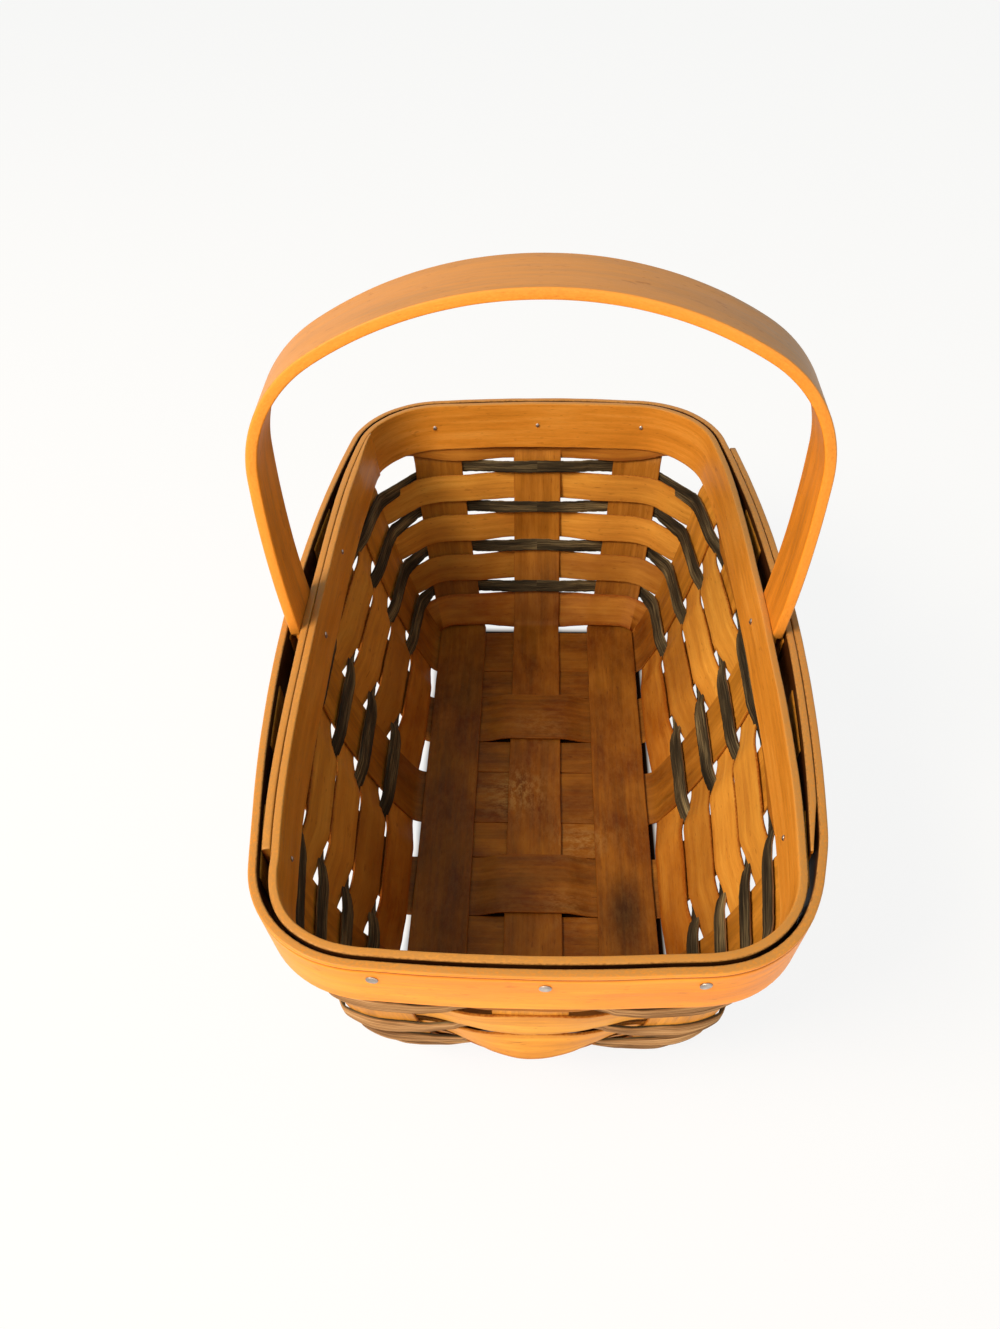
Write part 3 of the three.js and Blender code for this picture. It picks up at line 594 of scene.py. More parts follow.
# %% [markdown]
# ## Rim bands
# Two bent bands clamp the uprights between them. Each runs once round the rim and laps over
# its own start, on the left inside and on the right outside. The overlapped end is stepped
# off by one thickness, and the other tip is pared thin. A band is the same wall formula with
# its two faces given as distances, so it always fits what it clamps.

# %% Rim bands
INNER_START, INNER_TIP, INNER_END = LEFT + 2.3, LEFT + 1.8, LEFT - 2.1 - UPRIGHTS
INNER_EASE = (LEFT - 2.12, LEFT - 2.6)
OUTER_START, OUTER_TIP = RIGHT - 2.08, RIGHT + 1.7 + UPRIGHTS
OUTER_END, OUTER_EASE = RIGHT + 2.05 + UPRIGHTS, (RIGHT + 1.9, RIGHT + 2.4)
ROOM_FLAT, ROOM_BOW, BAND_ROUND = 0.25, 1.9, 0.5
GROOVE_MARK, GAP_SHADE_MARK, GROOVE_SWAY, BAND_TOP, BAND_LOW = 0.4, 0.5, 0.3, 0.14, 0.2


def eased(p, ease):
    """Share of a lap's step: 1 before the ease starts and 0 after its end."""
    return 1 - smooth((p - ease[0]) / (ease[1] - ease[0]))


def inner_faces(p):
    """Outer and inner face of the inner band, as distances in front of the uprights. It makes
    room for the handle over a long, gentle bow, as a bent strip does."""
    lapped = np.where(p > INNER_EASE[1], eased(p, INNER_EASE), 0)
    near = away(p, RIGHT, HALF_TURN)
    room = HANDLE_ROOM * (1 - smooth((near - ROOM_FLAT) / ROOM_BOW))
    face = rim_middle(p) - CLAMP_GAP / 2 - room - lapped * BENT_LAP
    tip = np.clip((p - INNER_TIP) / (INNER_START - INNER_TIP), 0, 1)
    return face, face - mix(BENT_T, BAND_TIP_T, tip)


def outer_faces(p):
    """Outer and inner face of the outer band."""
    lapped = np.where(p < OUTER_EASE[1], eased(p, OUTER_EASE), 0)
    face = rim_middle(p) + CLAMP_GAP / 2 + lapped * BENT_LAP
    tip = np.clip((p - OUTER_TIP) / (OUTER_END - OUTER_TIP), 0, 1)
    return face + mix(BENT_T, BAND_TIP_T, tip), face


def band(name, start, end, faces, rings, count, groove=False):
    """Bent strip: the section keeps its outer and inner face on the two given distances. The
    outer band has one thin groove that follows its top edge, a bell curve cut into the face.
    The groove attribute marks the groove, and higher still the face turned to the weave, for
    painted shade."""
    across, depth = section(BAND_W, BENT_T, BAND_ROUND, count, 5)
    low, high = min(start, end), max(start, end)
    p = np.linspace(low, high, int((high - low) * rings))
    outer, inner = faces(p)
    n = mix(inner[:, None], outer[:, None], depth / BENT_T + 0.5)
    # The band's face turned to the weave, in the gap between the two bands, is marked for painted
    # shade
    gap_shade = -np.sign(depth) if groove else np.sign(depth)
    on_face = (gap_shade > 0) * (np.abs(depth) > BENT_T / 2 - 0.4)
    line = np.broadcast_to(GAP_SHADE_MARK * on_face, (len(p), len(depth)))
    if groove:
        sway = GROOVE_SWAY * wander(p, name + "groove", 3.0)
        off = (across - (BAND_W / 2 - GROOVE_DOWN) - sway) / GROOVE_W
        cut = np.exp(-off ** 2) * (depth > 0)
        n = n - GROOVE_DEEP * cut
        line = np.maximum(line, GROOVE_MARK * cut)
    run = length_along(skin(p, WALL_SLOPE - BAND_W / 2, (outer + inner) / 2))
    top = BAND_TOP * wander(run, name + "top", 70)
    foot = BAND_LOW * wander(run, name + "foot", 60)
    share = across / BAND_W + 0.5
    part = share + mix(foot, top, share) / BAND_W
    points = chord(p[:, None], BAND_FOOT, WALL_SLOPE, part, n)
    strip_mesh(name, points, run, across, depth, closed=False, groove=line)


# The outer band needs many points across its face to draw the thin groove
band("inner_band", INNER_START, INNER_END, inner_faces, 44, 13)
band("outer_band", OUTER_START, OUTER_END, outer_faces, 23, 91, groove=True)
print("bands:", [len(pieces[n].data.polygons) for n in ("inner_band", "outer_band")])

# %% [markdown]
# ## Handle
# One bent strip: two almost straight legs, two shoulders and a flatter crown, so the path is
# arcs that meet in common tangents. Below the rim it is pared to half its thickness, so that
# it slips between the inner band and the middle upright, and the step it leaves rests on the
# upright's end.

# %% Handle
TAIL_RINGS, LIP_RINGS, LEG_RINGS, SHOULDER_RINGS, CROWN_RINGS = 12, 3, 34, 22, 52


def handle_path():
    """Outer face of the right half as (x, z, lean) rows: up the wall, then three arcs."""
    s = np.concatenate([np.linspace(TAIL_FOOT, UPRIGHT_TOP + GAP, TAIL_RINGS),
                        np.linspace(UPRIGHT_TOP + GAP, WALL_SLOPE, LIP_RINGS)])
    foot = skin(RIGHT + 0.25, s, HANDLE_T - TAIL_FACE - TAIL_T)
    rows = [np.stack([foot[:, 0], foot[:, 2], wall(s)[0]], -1)]

    def arc(radius, from_, to, count):
        start = rows[-1][-1]
        lean = np.linspace(from_, to, count + 1)[1:]
        x = start[0] + radius * (np.cos(lean) - math.cos(from_))
        z = start[1] - radius * (np.sin(lean) - math.sin(from_))
        rows.append(np.stack([x, z, lean], -1))

    arc(HANDLE_LEG / math.sin(HANDLE_LEAN), HANDLE_LEAN, 0, LEG_RINGS)
    arc(SHOULDER_R, 0, -SHOULDER_TURN, SHOULDER_RINGS)
    arc(rows[-1][-1][0] / math.cos(SHOULDER_TURN), -SHOULDER_TURN, -math.pi / 2, CROWN_RINGS)
    return np.concatenate(rows)


def handle():
    """Section carried along the path and mirrored: outer face, chamfers and inner face."""
    path = handle_path()
    path = np.concatenate([path, path[:-1][::-1] * [-1, 1, 1]])
    sides = np.concatenate([np.ones(len(path) // 2 + 1), -np.ones(len(path) // 2)])[:, None]
    across, depth = section(HANDLE_W, HANDLE_T, HANDLE_CHAMFER, 13)
    below = depth - HANDLE_T / 2
    thin = np.zeros(len(path), bool)
    thin[:TAIL_RINGS] = thin[-TAIL_RINGS:] = True
    pared = TAIL_T - HANDLE_T + below * TAIL_T / HANDLE_T
    deep = np.where(thin[:, None], pared, below)
    run = length_along(path[:, :2])
    wide = across * (1 + 0.008 * wander(run, "handle width", 90))
    drift = 0.12 * wander(run, "handle drift", 120)
    rise = np.maximum(0, path[:, 1] - path[TAIL_RINGS, 1])[:, None]
    out, up, lean = (path[:, k][:, None] for k in range(3))
    x = out + sides * deep * np.cos(lean) + HANDLE_SWAY * rise
    points = np.stack([x, HANDLE_SHIFT + wide + drift, up - deep * np.sin(lean)], -1)
    strip_mesh("bent_handle", points, run, across, depth, closed=False)


handle()
print("handle top at %.1f mm" % (max(v.co.z for v in pieces["bent_handle"].data.vertices) / MM))

# %% [markdown]
# ## Tacks
# Each tack is one piece of steel: a slightly dished head outside, a shank through the layers
# and a tip bent over against the inner band. A turned profile can't bend over, so a tack is
# one row of rings instead, and its length follows the layers that it goes through.

# %% Tacks
# Place round the rim, depth below its edge, and size
TACKS = {
    "tack_front_right": (FRONT - 0.97, 5.5, 1), "tack_front_centre": (FRONT - 0.09, 5.5, 1),
    "tack_front_left": (FRONT + 0.88, 5.5, 1), "tack_back_left": (BACK - 1, BAND_W / 2, 1),
    "tack_back_centre": (BACK, BAND_W / 2, 1), "tack_back_right": (BACK + 1, BAND_W / 2, 1),
    "tack_left_front": (LEFT - 2.02, 11.0, 1), "tack_left_rear": (LEFT + 0.84, 7.0, 1),
    "tack_left_handle": (LEFT - 0.08, BAND_W / 2, BIG_TACK),
    "tack_right_handle": (RIGHT - 0.09, BAND_W / 2, BIG_TACK),
    "tack_right_front": (RIGHT + 1.82, 11.0, 1),
}
# Rings on the shank, in the bend and on the tip, points round a ring, the shank's flare under
# the head, and how much and how fast the tip thins. POINT is almost nothing: it closes both ends
SHANK_RINGS, BEND_STEPS, TIP_RINGS, TACK_ROUND, NECK, TAPER = 6, 6, 8, 24, 1.15, (0.82, 1.6)
POINT = 0.001
# Shares of the head's radius and of its height, from its middle over its rim to below it
HEAD_PROFILE = ((POINT, 0.42), (0.3, 0.46), (0.55, 0.62), (0.74, 0.86), (0.85, 1.0),
                (0.93, 0.96), (0.985, 0.72), (1.0, 0.38), (0.97, 0.08), (0.9, 0.0))


def tack_frame(p, s):
    """Origin and the directions outwards, up and round at a tack."""
    foot, rim = skin(p, BAND_FOOT, 0), skin(p, WALL_SLOPE, 0)
    at = mix(foot, rim, (s - BAND_FOOT) / BAND_W)
    up = (rim - foot) / np.linalg.norm(rim - foot)
    out = skin(p, WALL_SLOPE, 1) - rim
    out = out - up * (out @ up)
    out = out / np.linalg.norm(out)
    return at, out, up, np.cross(up, out)


def tack(name, p, drop, size):
    """Rings from the head's middle over its rim, in to the shank, through the wood, round the
    bend and up to the tip. A row is the ring's lift, its distance outwards, its tilt, and the
    ellipse's two half axes."""
    at, out, up, round_ = tack_frame(p, WALL_SLOPE - drop)
    turns = np.array([p - UPRIGHTS, p, p + UPRIGHTS])
    on_outer = turns[(turns >= OUTER_START) & (turns <= OUTER_END)]
    on_inner = turns[(turns <= INNER_START) & (turns >= INNER_END)]
    face = outer_faces(on_outer)[0].max() - SINK
    back = inner_faces(on_inner)[1].min() + SINK
    head, wire, flat = HEAD_SMALL * size * HEAD_D / 2, size * SHANK / 2, CLENCH_T / 2
    rows = [(0, face + height * HEAD_LOW, 0, share * head, share * head)
            for share, height in HEAD_PROFILE]
    rows.append((0, face, 0, wire * NECK, wire * NECK))
    rows += [(0, n, 0, wire, wire) for n in np.linspace(face - 0.2, back + 0.2, SHANK_RINGS)]
    for angle in np.linspace(0.25, math.pi / 2, BEND_STEPS):
        rows.append((wire * (1 - math.cos(angle)), back - flat * math.sin(angle), angle, wire,
                     mix(wire, flat, angle / (math.pi / 2))))
    reach = TIP_SHORT * size * CLENCH_L - wire
    for share in np.linspace(0.15, 1, TIP_RINGS):
        taper = 1 - TAPER[0] * share ** TAPER[1]
        rows.append((mix(wire, reach, share), back - flat, math.pi / 2, wire * taper,
                     flat * taper))
    rows.append((reach + 0.02, back - flat, math.pi / 2, POINT, POINT))
    angle = np.linspace(0, 2 * math.pi, TACK_ROUND + 1)[:-1]
    rings = []
    for lift, n, tilt, wide, high in rows:
        second = up * math.cos(tilt) + out * math.sin(tilt)
        rings.append(at + up * lift + out * n + np.cos(angle)[:, None] * round_ * wide
                     + np.sin(angle)[:, None] * second * high)
    points = np.array(rings)
    run = length_along(points.mean(1))
    strip_mesh(name, points, run, np.cos(angle), np.sin(angle), closed=False)


for name, (p, drop, size) in TACKS.items():
    tack(name + "_steel", p, drop, size)
print("tacks:", len(TACKS))

# %% [markdown]
# ## Values painted on the strips
# By place: the strips are darker towards the floor and the foot of the walls, the uprights of
# the back carry painted shade, the floor has dark ovals of stain and of painted shadow, and a
# strip's edges differ from its faces. These masks are worked out with numpy and kept as
# attributes on the mesh, where the materials read them.

# %% Masks
STRIP_WIDTH = {"wide": TAN_W, "dyed": DARK_W, "rim": TAN_W, "long": LONG_W, "cross": CROSS_W,
               "floor": FILLER_W, "inner": BAND_W, "outer": BAND_W, "bent": HANDLE_W,
               "tack": HEAD_D}
DARK_FROM, DARK_OVER, STAIN_SHADOW_FROM, STAIN_SHADOW_OVER, EDGE_MM = 2, 60, 3, 8, 0.5
BACK_SHADE, BACK_OVER = 0.55, 12
# Middle, half width, half length and strength of each mark on the floor: real stains and
# pale scuffs, and on the left of the floor painted shadow
STAINS_AND_SHADOWS = [(29, -50, 6, 14, -1.0), (30, -84, 8, 16, -0.6), (-34, -25, 9, 45, -0.4),
          (-10, -46, 18, 14, -0.4), (-28, 52, 9, 13, -0.5), (-9, 2, 10, 9, 1.0),
          (15, -20, 8, 7, 0.9), (8, -48, 9, 8, 0.5), (0, 34, 9, 7, 0.35)]


def stain_and_shadow_at(x, y):
    """Sum of soft ovals laid on the floor: below 0 it is darker, from stains and, on the left of
    the floor, painted shadow; above 0 scuffed pale.
    """
    total = np.zeros_like(x)
    for at_x, at_y, wide, long_, amount in STAINS_AND_SHADOWS:
        total += amount * np.exp(-((x - at_x) / wide) ** 2 - ((y - at_y) / long_) ** 2)
    return total


def paint(piece):
    """tone: one even shade for the whole strip. depth_dark: 1 on the floor, 0 at the rim, and on
    the back's uprights never less than their painted shade. The stain mask: the ovals of stains
    and painted shadow, fading out up the walls.
    edge: 1 at the strip's long edges, falling to 0 within half a millimetre."""
    mesh = piece.data
    co = np.empty(len(mesh.vertices) * 3, np.float32)
    mesh.vertices.foreach_get("co", co)
    x, y, z = co.reshape(-1, 3).T / MM
    rng = np.random.default_rng([SEED] + [ord(c) for c in piece.name])
    low = 1 - smooth((z - DARK_FROM) / DARK_OVER)
    # The back's uprights get painted shade
    if piece.name.startswith("long_splint"):
        low = np.maximum(low, BACK_SHADE * smooth((y - HALF_LENGTH + BACK_OVER) / BACK_OVER))
    values = {"tone": np.full(len(z), rng.uniform(-1, 1)), "depth_dark": low,
              "stain": stain_and_shadow_at(x, y) * (1 - smooth((z - STAIN_SHADOW_FROM) / STAIN_SHADOW_OVER))}
    for key, value in values.items():
        layer = mesh.attributes.new(key, "FLOAT", "POINT")
        layer.data.foreach_set("value", value.astype(np.float32))
    grain = np.empty(len(mesh.loops) * 3, np.float32)
    mesh.attributes["grain"].data.foreach_get("vector", grain)
    grain = grain.reshape(-1, 3)
    half = STRIP_WIDTH[piece.name.split("_")[0]] / 2 * MM
    edge = smooth(1 - (half - np.abs(grain[:, 1])) / (EDGE_MM * MM)).astype(np.float32)
    layer = mesh.attributes.new("edge", "FLOAT", "CORNER")
    layer.data.foreach_set("value", edge)
    grain[:, 0] += rng.uniform(0, 9)
    grain[:, 1] += rng.uniform(0, 3)
    mesh.attributes["grain"].data.foreach_set("vector", grain.reshape(-1))


for piece in pieces.values():
    paint(piece)
print("masks on", len(pieces), "pieces")

# %% [markdown]
# ## Materials
# The strips are maple, split or sliced thin, stained a warm honey colour and gone brown with
# age. An image of wood would not follow the bends, so the grain is noise stretched along the
# strip's own coordinates: long soft streaks, fine short pores and slow changes of shade.

# %% Nodes and colours
def srgb(text):
    """Linear colour from a hex value: the sRGB curve undone on each channel."""
    c = np.array([int(text[i:i + 2], 16) for i in (1, 3, 5)]) / 255
    c = np.where(c <= 0.04045, c / 12.92, ((c + 0.055) / 1.055) ** 2.4)
    return (*[float(v) for v in c], 1.0)


def add(tree, kind, sockets=None, out=None, stops=None, **settings):
    """One node: settings are its properties, sockets get a value or another node's output, and
    stops are a colour ramp's (position, hex colour) pairs. It gives back the named output, or
    else the first that is in use. Where sockets go by number, a Map Range takes 0 from the
    range 1 to 2 into the range 3 to 4, and a colour Mix blends 6 into 7 by the share 0."""
    made = tree.nodes.new("ShaderNode" + kind)
    for key, value in settings.items():
        setattr(made, key, value)
    for key, value in (sockets or {}).items():
        if isinstance(value, bpy.types.NodeSocket):
            tree.links.new(value, made.inputs[key])
        else:
            made.inputs[key].default_value = value
    if stops:
        bar = made.color_ramp.elements
        while len(bar) < len(stops):
            bar.new(0.5)
        for element, (position, text) in zip(bar, stops):
            element.position, element.color = position, srgb(text)
    if out:
        return made.outputs[out]
    return next((socket for socket in made.outputs if socket.enabled), None)


def blank(name, kind=bpy.data.materials):
    """A new material or world without nodes, and add for its own node tree."""
    made = kind.new(name)
    made.use_nodes = True
    made.node_tree.nodes.clear()
    return made, partial(add, made.node_tree)


def along_grain(node, grain, sizes_mm, detail, rough=0.55, warp=0.0):
    """Noise stretched along the strip: the strip's coordinates, each over the pattern's size
    along it, across it and, where given, through it."""
    along, across, through = (1 / (v * MM) for v in (*sizes_mm, sizes_mm[-1])[:3])
    scaled = node("VectorMath", {0: grain, 1: (along, across, through)}, operation="MULTIPLY")
    return node("TexNoise", {"Vector": scaled, "Scale": 1.0, "Detail": detail,
                             "Roughness": rough, "Distortion": warp})


print("honey maple as linear colour:", np.round(srgb("#DC9032")[:3], 3))

# %% Split maple
# Length along the strip and width across it of each pattern, in millimetres. Real pores are
# finer than the picture shows, so they are drawn about twice as coarse.
SHADE_MM, PORE_MM, FLECK_MM, KNOT_MM = (45, 7), (2.6, 0.24), (3.5, 0.6), (9, 3.2)
PATCH_MM, SCUFF_MM, SPECK_MM = (24, 14), (4.0, 2.0), (0.9, 0.5)
FLECK, KNOT, SCUFF, GROOVE_DARK, GAP_SHADE_DARK, SHEEN = 0.45, 0.55, 0.75, 1.0, 0.95, 0.16
SHADES_AT = (0.05, 0.5, 0.95)
# Dark brown of marks, near-black painted shade for band faces turned to the weave, and the wood's
# IOR
MARK_COLOUR, GAP_SHADE_COLOUR, WOOD_IOR = "#783408", "#331A08", 1.5
SCUFF_COLOUR, WORN_COLOUR = "#C49A5C", "#B08C5C"


def maple(name, colours, floor_colour, edge_colour, edge_amount, rough, pore_depth=0.1,
          streak_mm=(34, 1.6), coat=0.0, worn=0.0):
    """Maple strip. Colour: a ramp over long streaks plus slow changes of shade, times the pores
    and the strip's tone. Over it come, each by its mask: dry wear on the outer face, brown
    flecks, knots and the band's groove, painted shade on band faces turned to the weave, brown
    darker towards the bottom and as painted shade on the back's uprights, dark ovals of stain
    and painted shadow, pale scuffs and the strip's edges."""
    material, node = blank(name)
    grain = node("Attribute", out="Vector", attribute_name="grain")
    tone, low, stain_and_shadow_mask, edge, groove = (
        node("Attribute", out="Fac", attribute_name=key)
        for key in ("tone", "depth_dark", "stain", "edge", "groove"))
    pattern = partial(along_grain, node, grain)
    streaks, pores = pattern(streak_mm, 4, 0.62, 0.3), pattern(PORE_MM, 2)
    both = node("Math", {0: streaks, 1: pattern(SHADE_MM, 3)}, operation="ADD")
    span = node("MapRange", {0: both, 1: 0.72, 2: 1.28})
    colour = node("ValToRGB", {0: span}, stops=list(zip(SHADES_AT, colours)))
    pore = node("MapRange", {0: pores, 1: 0.34, 2: 0.5, 3: 1 - pore_depth})
    tone = node("MapRange", {0: tone, 1: -1.0, 2: 1.0, 3: 0.86, 4: 1.1})
    level = node("Math", {0: pore, 1: tone}, operation="MULTIPLY")
    colour = node("VectorMath", {0: colour, 3: level}, operation="SCALE")
    if worn:
        through = node("SeparateXYZ", {0: grain}, out="Z")
        dry = node("MapRange", {0: through, 1: 0.9 * MM, 2: 1.5 * MM, 4: worn})
        colour = node("Mix", {0: dry, 6: colour, 7: srgb(WORN_COLOUR)}, data_type="RGBA")

    # Only the highest peaks of a noise pass its range, as lone spots
    fleck = node("MapRange", {0: pattern(FLECK_MM, 1), 1: 0.69, 2: 0.77, 4: FLECK})
    knot = node("MapRange", {0: pattern(KNOT_MM, 3), 1: 0.67, 2: 0.78, 4: KNOT})
    spot = node("Math", {0: fleck, 1: knot}, operation="MAXIMUM")
    line = node("MapRange", {0: groove, 2: GROOVE_MARK, 4: GROOVE_DARK})
    mark = node("Math", {0: spot, 1: line}, operation="MAXIMUM")
    colour = node("Mix", {0: mark, 6: colour, 7: srgb(MARK_COLOUR)}, data_type="RGBA")
    # Painted shade on the band faces turned to the weave, in the gap between the two bands
    gap_shade = node("MapRange", {0: groove, 1: GROOVE_MARK + 0.02, 2: GAP_SHADE_MARK, 4: GAP_SHADE_DARK})
    colour = node("Mix", {0: gap_shade, 6: colour, 7: srgb(GAP_SHADE_COLOUR)}, data_type="RGBA")

    # Brown darker towards the bottom, and painted shade on the back's uprights
    patch = node("MapRange", {0: pattern(PATCH_MM, 4), 1: 0.3, 2: 0.68, 3: 0.55})
    low = node("Math", {0: low, 1: patch}, operation="MULTIPLY")
    colour = node("Mix", {0: low, 6: colour, 7: srgb(floor_colour)}, data_type="RGBA",
                  blend_type="MULTIPLY")
    # Dark ovals: stains, and on the left of the floor painted shadow
    stain_and_shadow_dark = node("MapRange", {0: stain_and_shadow_mask, 2: -1.0, 3: 1.0, 4: 0.2})
    colour = node("VectorMath", {0: colour, 3: stain_and_shadow_dark}, operation="SCALE")
    rubbed = node("MapRange", {0: stain_and_shadow_mask, 2: 1.0, 3: 0.12})
    scuff = node("MapRange", {0: pattern(SCUFF_MM, 6, 0.8), 1: 0.44, 2: 0.6, 4: SCUFF})
    scuff = node("Math", {0: scuff, 1: low}, operation="MULTIPLY")
    scuff = node("Math", {0: scuff, 1: rubbed}, operation="MULTIPLY")
    colour = node("Mix", {0: scuff, 6: colour, 7: srgb(SCUFF_COLOUR)}, data_type="RGBA")
    edge = node("Math", {0: edge, 1: pattern(SPECK_MM, 2)}, operation="MULTIPLY")
    edge = node("Math", {0: edge, 1: 2 * edge_amount}, operation="MULTIPLY", use_clamp=True)
    colour = node("Mix", {0: edge, 6: colour, 7: srgb(edge_colour)}, data_type="RGBA")

    height = node("Math", {0: streaks, 1: pores}, operation="ADD")
    bump = node("Bump", {"Height": height, "Strength": 0.6, "Distance": 0.07 * MM})
    gloss = node("MapRange", {0: streaks, 1: 0.3, 2: 0.7, 3: rough - 0.07, 4: rough + 0.09})
    shader = node("BsdfPrincipled", {
        "Base Color": colour, "Roughness": gloss, "Normal": bump, "IOR": WOOD_IOR,
        "Specular IOR Level": SHEEN, "Coat Weight": coat, "Coat Roughness": 0.3})
    node("OutputMaterial", {"Surface": shader})
    return material


# %% Dyed splint and tack steel
# Dyed colour of the inner face, darkened further as painted shade, and of the outer face, rubbed
# paler
DYED_SHADED = [(0.1, "#1C1810"), (0.45, "#3A3224"), (0.75, "#6A5E46"), (1.0, "#94845E")]
RUBBED = [(0.1, "#5A3C22"), (0.45, "#8E6A46"), (0.75, "#B08A62"), (1.0, "#C8A47C")]
STEEL = [(0.3, "#8A827C"), (0.7, "#C4BCB6")]


def dyed(name):
    """Splint dyed nearly black, gone grey-brown on raised fibres: a ramp over fine noise along
    the strip plus a slow one, with painted shade on the inner face and rubbed paler on the outer."""
    material, node = blank(name)
    grain = node("Attribute", out="Vector", attribute_name="grain")
    fibres = along_grain(node, grain, (18, 0.35, 0.6), 4.0, 0.6)
    slow = along_grain(node, grain, (30, 4), 3.0, 0.5)
    both = node("Math", {0: fibres, 1: slow}, operation="ADD")
    span = node("MapRange", {0: both, 1: 0.74, 2: 1.3})
    through = node("SeparateXYZ", {0: grain}, out="Z")
    outer = node("MapRange", {0: through, 1: -0.1 * MM, 2: 0.3 * MM})
    dull, rubbed = (node("ValToRGB", {0: span}, stops=stops) for stops in (DYED_SHADED, RUBBED))
    colour = node("Mix", {0: outer, 6: dull, 7: rubbed}, data_type="RGBA")
    bump = node("Bump", {"Height": fibres, "Strength": 0.8, "Distance": 0.1 * MM})
    shader = node("BsdfPrincipled", {
        "Base Color": colour, "Roughness": 0.72, "Normal": bump, "IOR": WOOD_IOR,
        "Specular IOR Level": SHEEN})
    node("OutputMaterial", {"Surface": shader})
    return material


def steel(name):
    """Dull steel: fine noise in the finish and a slow darkening, on a metal."""
    material, node = blank(name)
    place = node("TexCoord", out="Object")
    fine, slow = (node("TexNoise", {"Vector": place, "Scale": 1 / (size * MM), "Detail": detail})
                  for size, detail in ((0.6, 3.0), (2.5, 2.0)))
    gloss = node("MapRange", {0: fine, 1: 0.3, 2: 0.7, 3: 0.36, 4: 0.6})
    bump = node("Bump", {"Height": fine, "Strength": 0.4, "Distance": 0.05 * MM})
    colour = node("ValToRGB", {0: slow}, stops=STEEL)
    shader = node("BsdfPrincipled", {
        "Base Color": colour, "Metallic": 1.0, "Roughness": gloss, "Normal": bump})
    node("OutputMaterial", {"Surface": shader})
    return material


# %% Finishes of this basket
# Aged split maple: a satin brown, nearly dull, darkest and scuffed on the floor
splint_maple = maple("maple_splint_aged", ("#A66E20", "#C0802A", "#D69438"), "#927236",
                     "#8A4A10", 0.5, 0.5)
# Aged sliced maple: the lightest of the weave, golden brown with darker edges
weaver_maple = maple("maple_weaver_aged", ("#C88634", "#DA983C", "#E8AA4A"), "#AC8C5A",
                     "#8A4206", 0.7, 0.5, 0.08)
# The same wood under the rim, darkened as painted shade of the band above it: brown and dull
shaded_rim_maple = maple("maple_weaver_grimy", ("#8E5418", "#A4661E", "#B67A2C"), "#AC8C5A",
                    "#6E3406", 0.7, 0.55)
# Bent and sanded maple with a thin varnish: bright honey, soft highlights, pale edges
band_maple = maple("maple_band_honey", ("#D4801E", "#E68E24", "#F09C30"), "#C89A6A",
                   "#C08846", 0.9, 0.42, 0.08, coat=0.08)
# The inner band's face has lost most of its varnish: paler and less even
inner_maple = maple("maple_band_aged", ("#C88028", "#DC9032", "#E8A044"), "#C89A6A",
                    "#C08846", 0.9, 0.42, coat=0.04)
# The handle: honey inside, its outer face dry and greyer from hands
handle_maple = maple("maple_handle_honey", ("#C07622", "#DA8626", "#E8922E"), "#C89A6A",
                     "#E8963A", 0.6, 0.45, streak_mm=(34, 1.3), coat=0.06, worn=0.5)
# Dyed splint: no shine at all, dark with paler lines along its ridges
dyed_splint = dyed("dyed_splint_rubbed")
# Unplated steel: grey and blurred, with a small bright spot where a lamp hits it
tack_metal = steel("steel_tack_dull")
print("materials:", [m.name for m in bpy.data.materials if m.use_nodes])

# %% [markdown]
# ## Each piece takes its place
# A dressed piece hides the plain solid that it stands for, rides with the basket's one body
# and takes its material.

# %% Pieces, nodes and finishes
STANDS_FOR = {"rim_weaver": "weaver_top", "inner_band": "rim_band_inner",
              "outer_band": "rim_band_outer", "bent_handle": "handle"}
for side in ("left", "centre", "right"):
    STANDS_FOR["long_splint_" + side] = "splint_long_" + side
for ours, solid, count in (("cross_splint", "splint_cross", 5), ("floor_strip", "filler", 4),
                           ("wide_weaver", "weaver_tan", 4), ("dyed_weaver", "weaver_dark", 4)):
    for k in range(1, count + 1):
        STANDS_FOR["%s_%d" % (ours, k)] = "%s_%d" % (solid, k)
for name in TACKS:
    STANDS_FOR[name + "_steel"] = name
FINISH = {"wide": (weaver_maple, "natural_weaver"), "rim": (shaded_rim_maple, "natural_weaver"),
          "dyed": (dyed_splint, "dark_weaver"), "long": (splint_maple, "upright_splint"),
          "cross": (splint_maple, "upright_splint"), "floor": (splint_maple, "floor_splint"),
          "inner": (inner_maple, "rim_wood"), "outer": (band_maple, "rim_wood"),
          "bent": (handle_maple, "handle_wood"), "tack": (tack_metal, "tack_steel")}
for name, piece in pieces.items():
    material, slot = FINISH[name.split("_")[0]]
    piece.data.materials.append(material)
    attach(piece, "root")
    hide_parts(STANDS_FOR[name])
print("pieces dressed:", len(pieces))

# %% [markdown]
# ## Floor, light and camera
# A wide pale floor, an even surround and two soft lamps. The key lamp stands in front, to the
# left and above. The second is a long low strip straight in front, which lights the front
# band and the wall below it without reaching down into the basket.

# %% Studio
GLOW, SURROUND, CLEAR_MM, FLOOR_HALF, FLOOR_BELOW = 0.88, 0.31, 3, 6.0, 0.2
AMBIENT, WARM, GROUND, UNDER_SHADOW, WHITE = "#ECFFF0", "#FFE8CA", "#FFFEFC", "#241408", (1, 1, 1, 1)
LAMP_AIM = np.array([0, 0, 0.045])


def seen_directly(node):
    """1 for what the camera sees or a gloss reflects, 0 for the light that falls on things."""
    eye, gloss = (node("LightPath", out=key) for key in ("Is Camera Ray", "Is Glossy Ray"))
    return node("Math", {0: eye, 1: gloss}, operation="ADD", use_clamp=True)


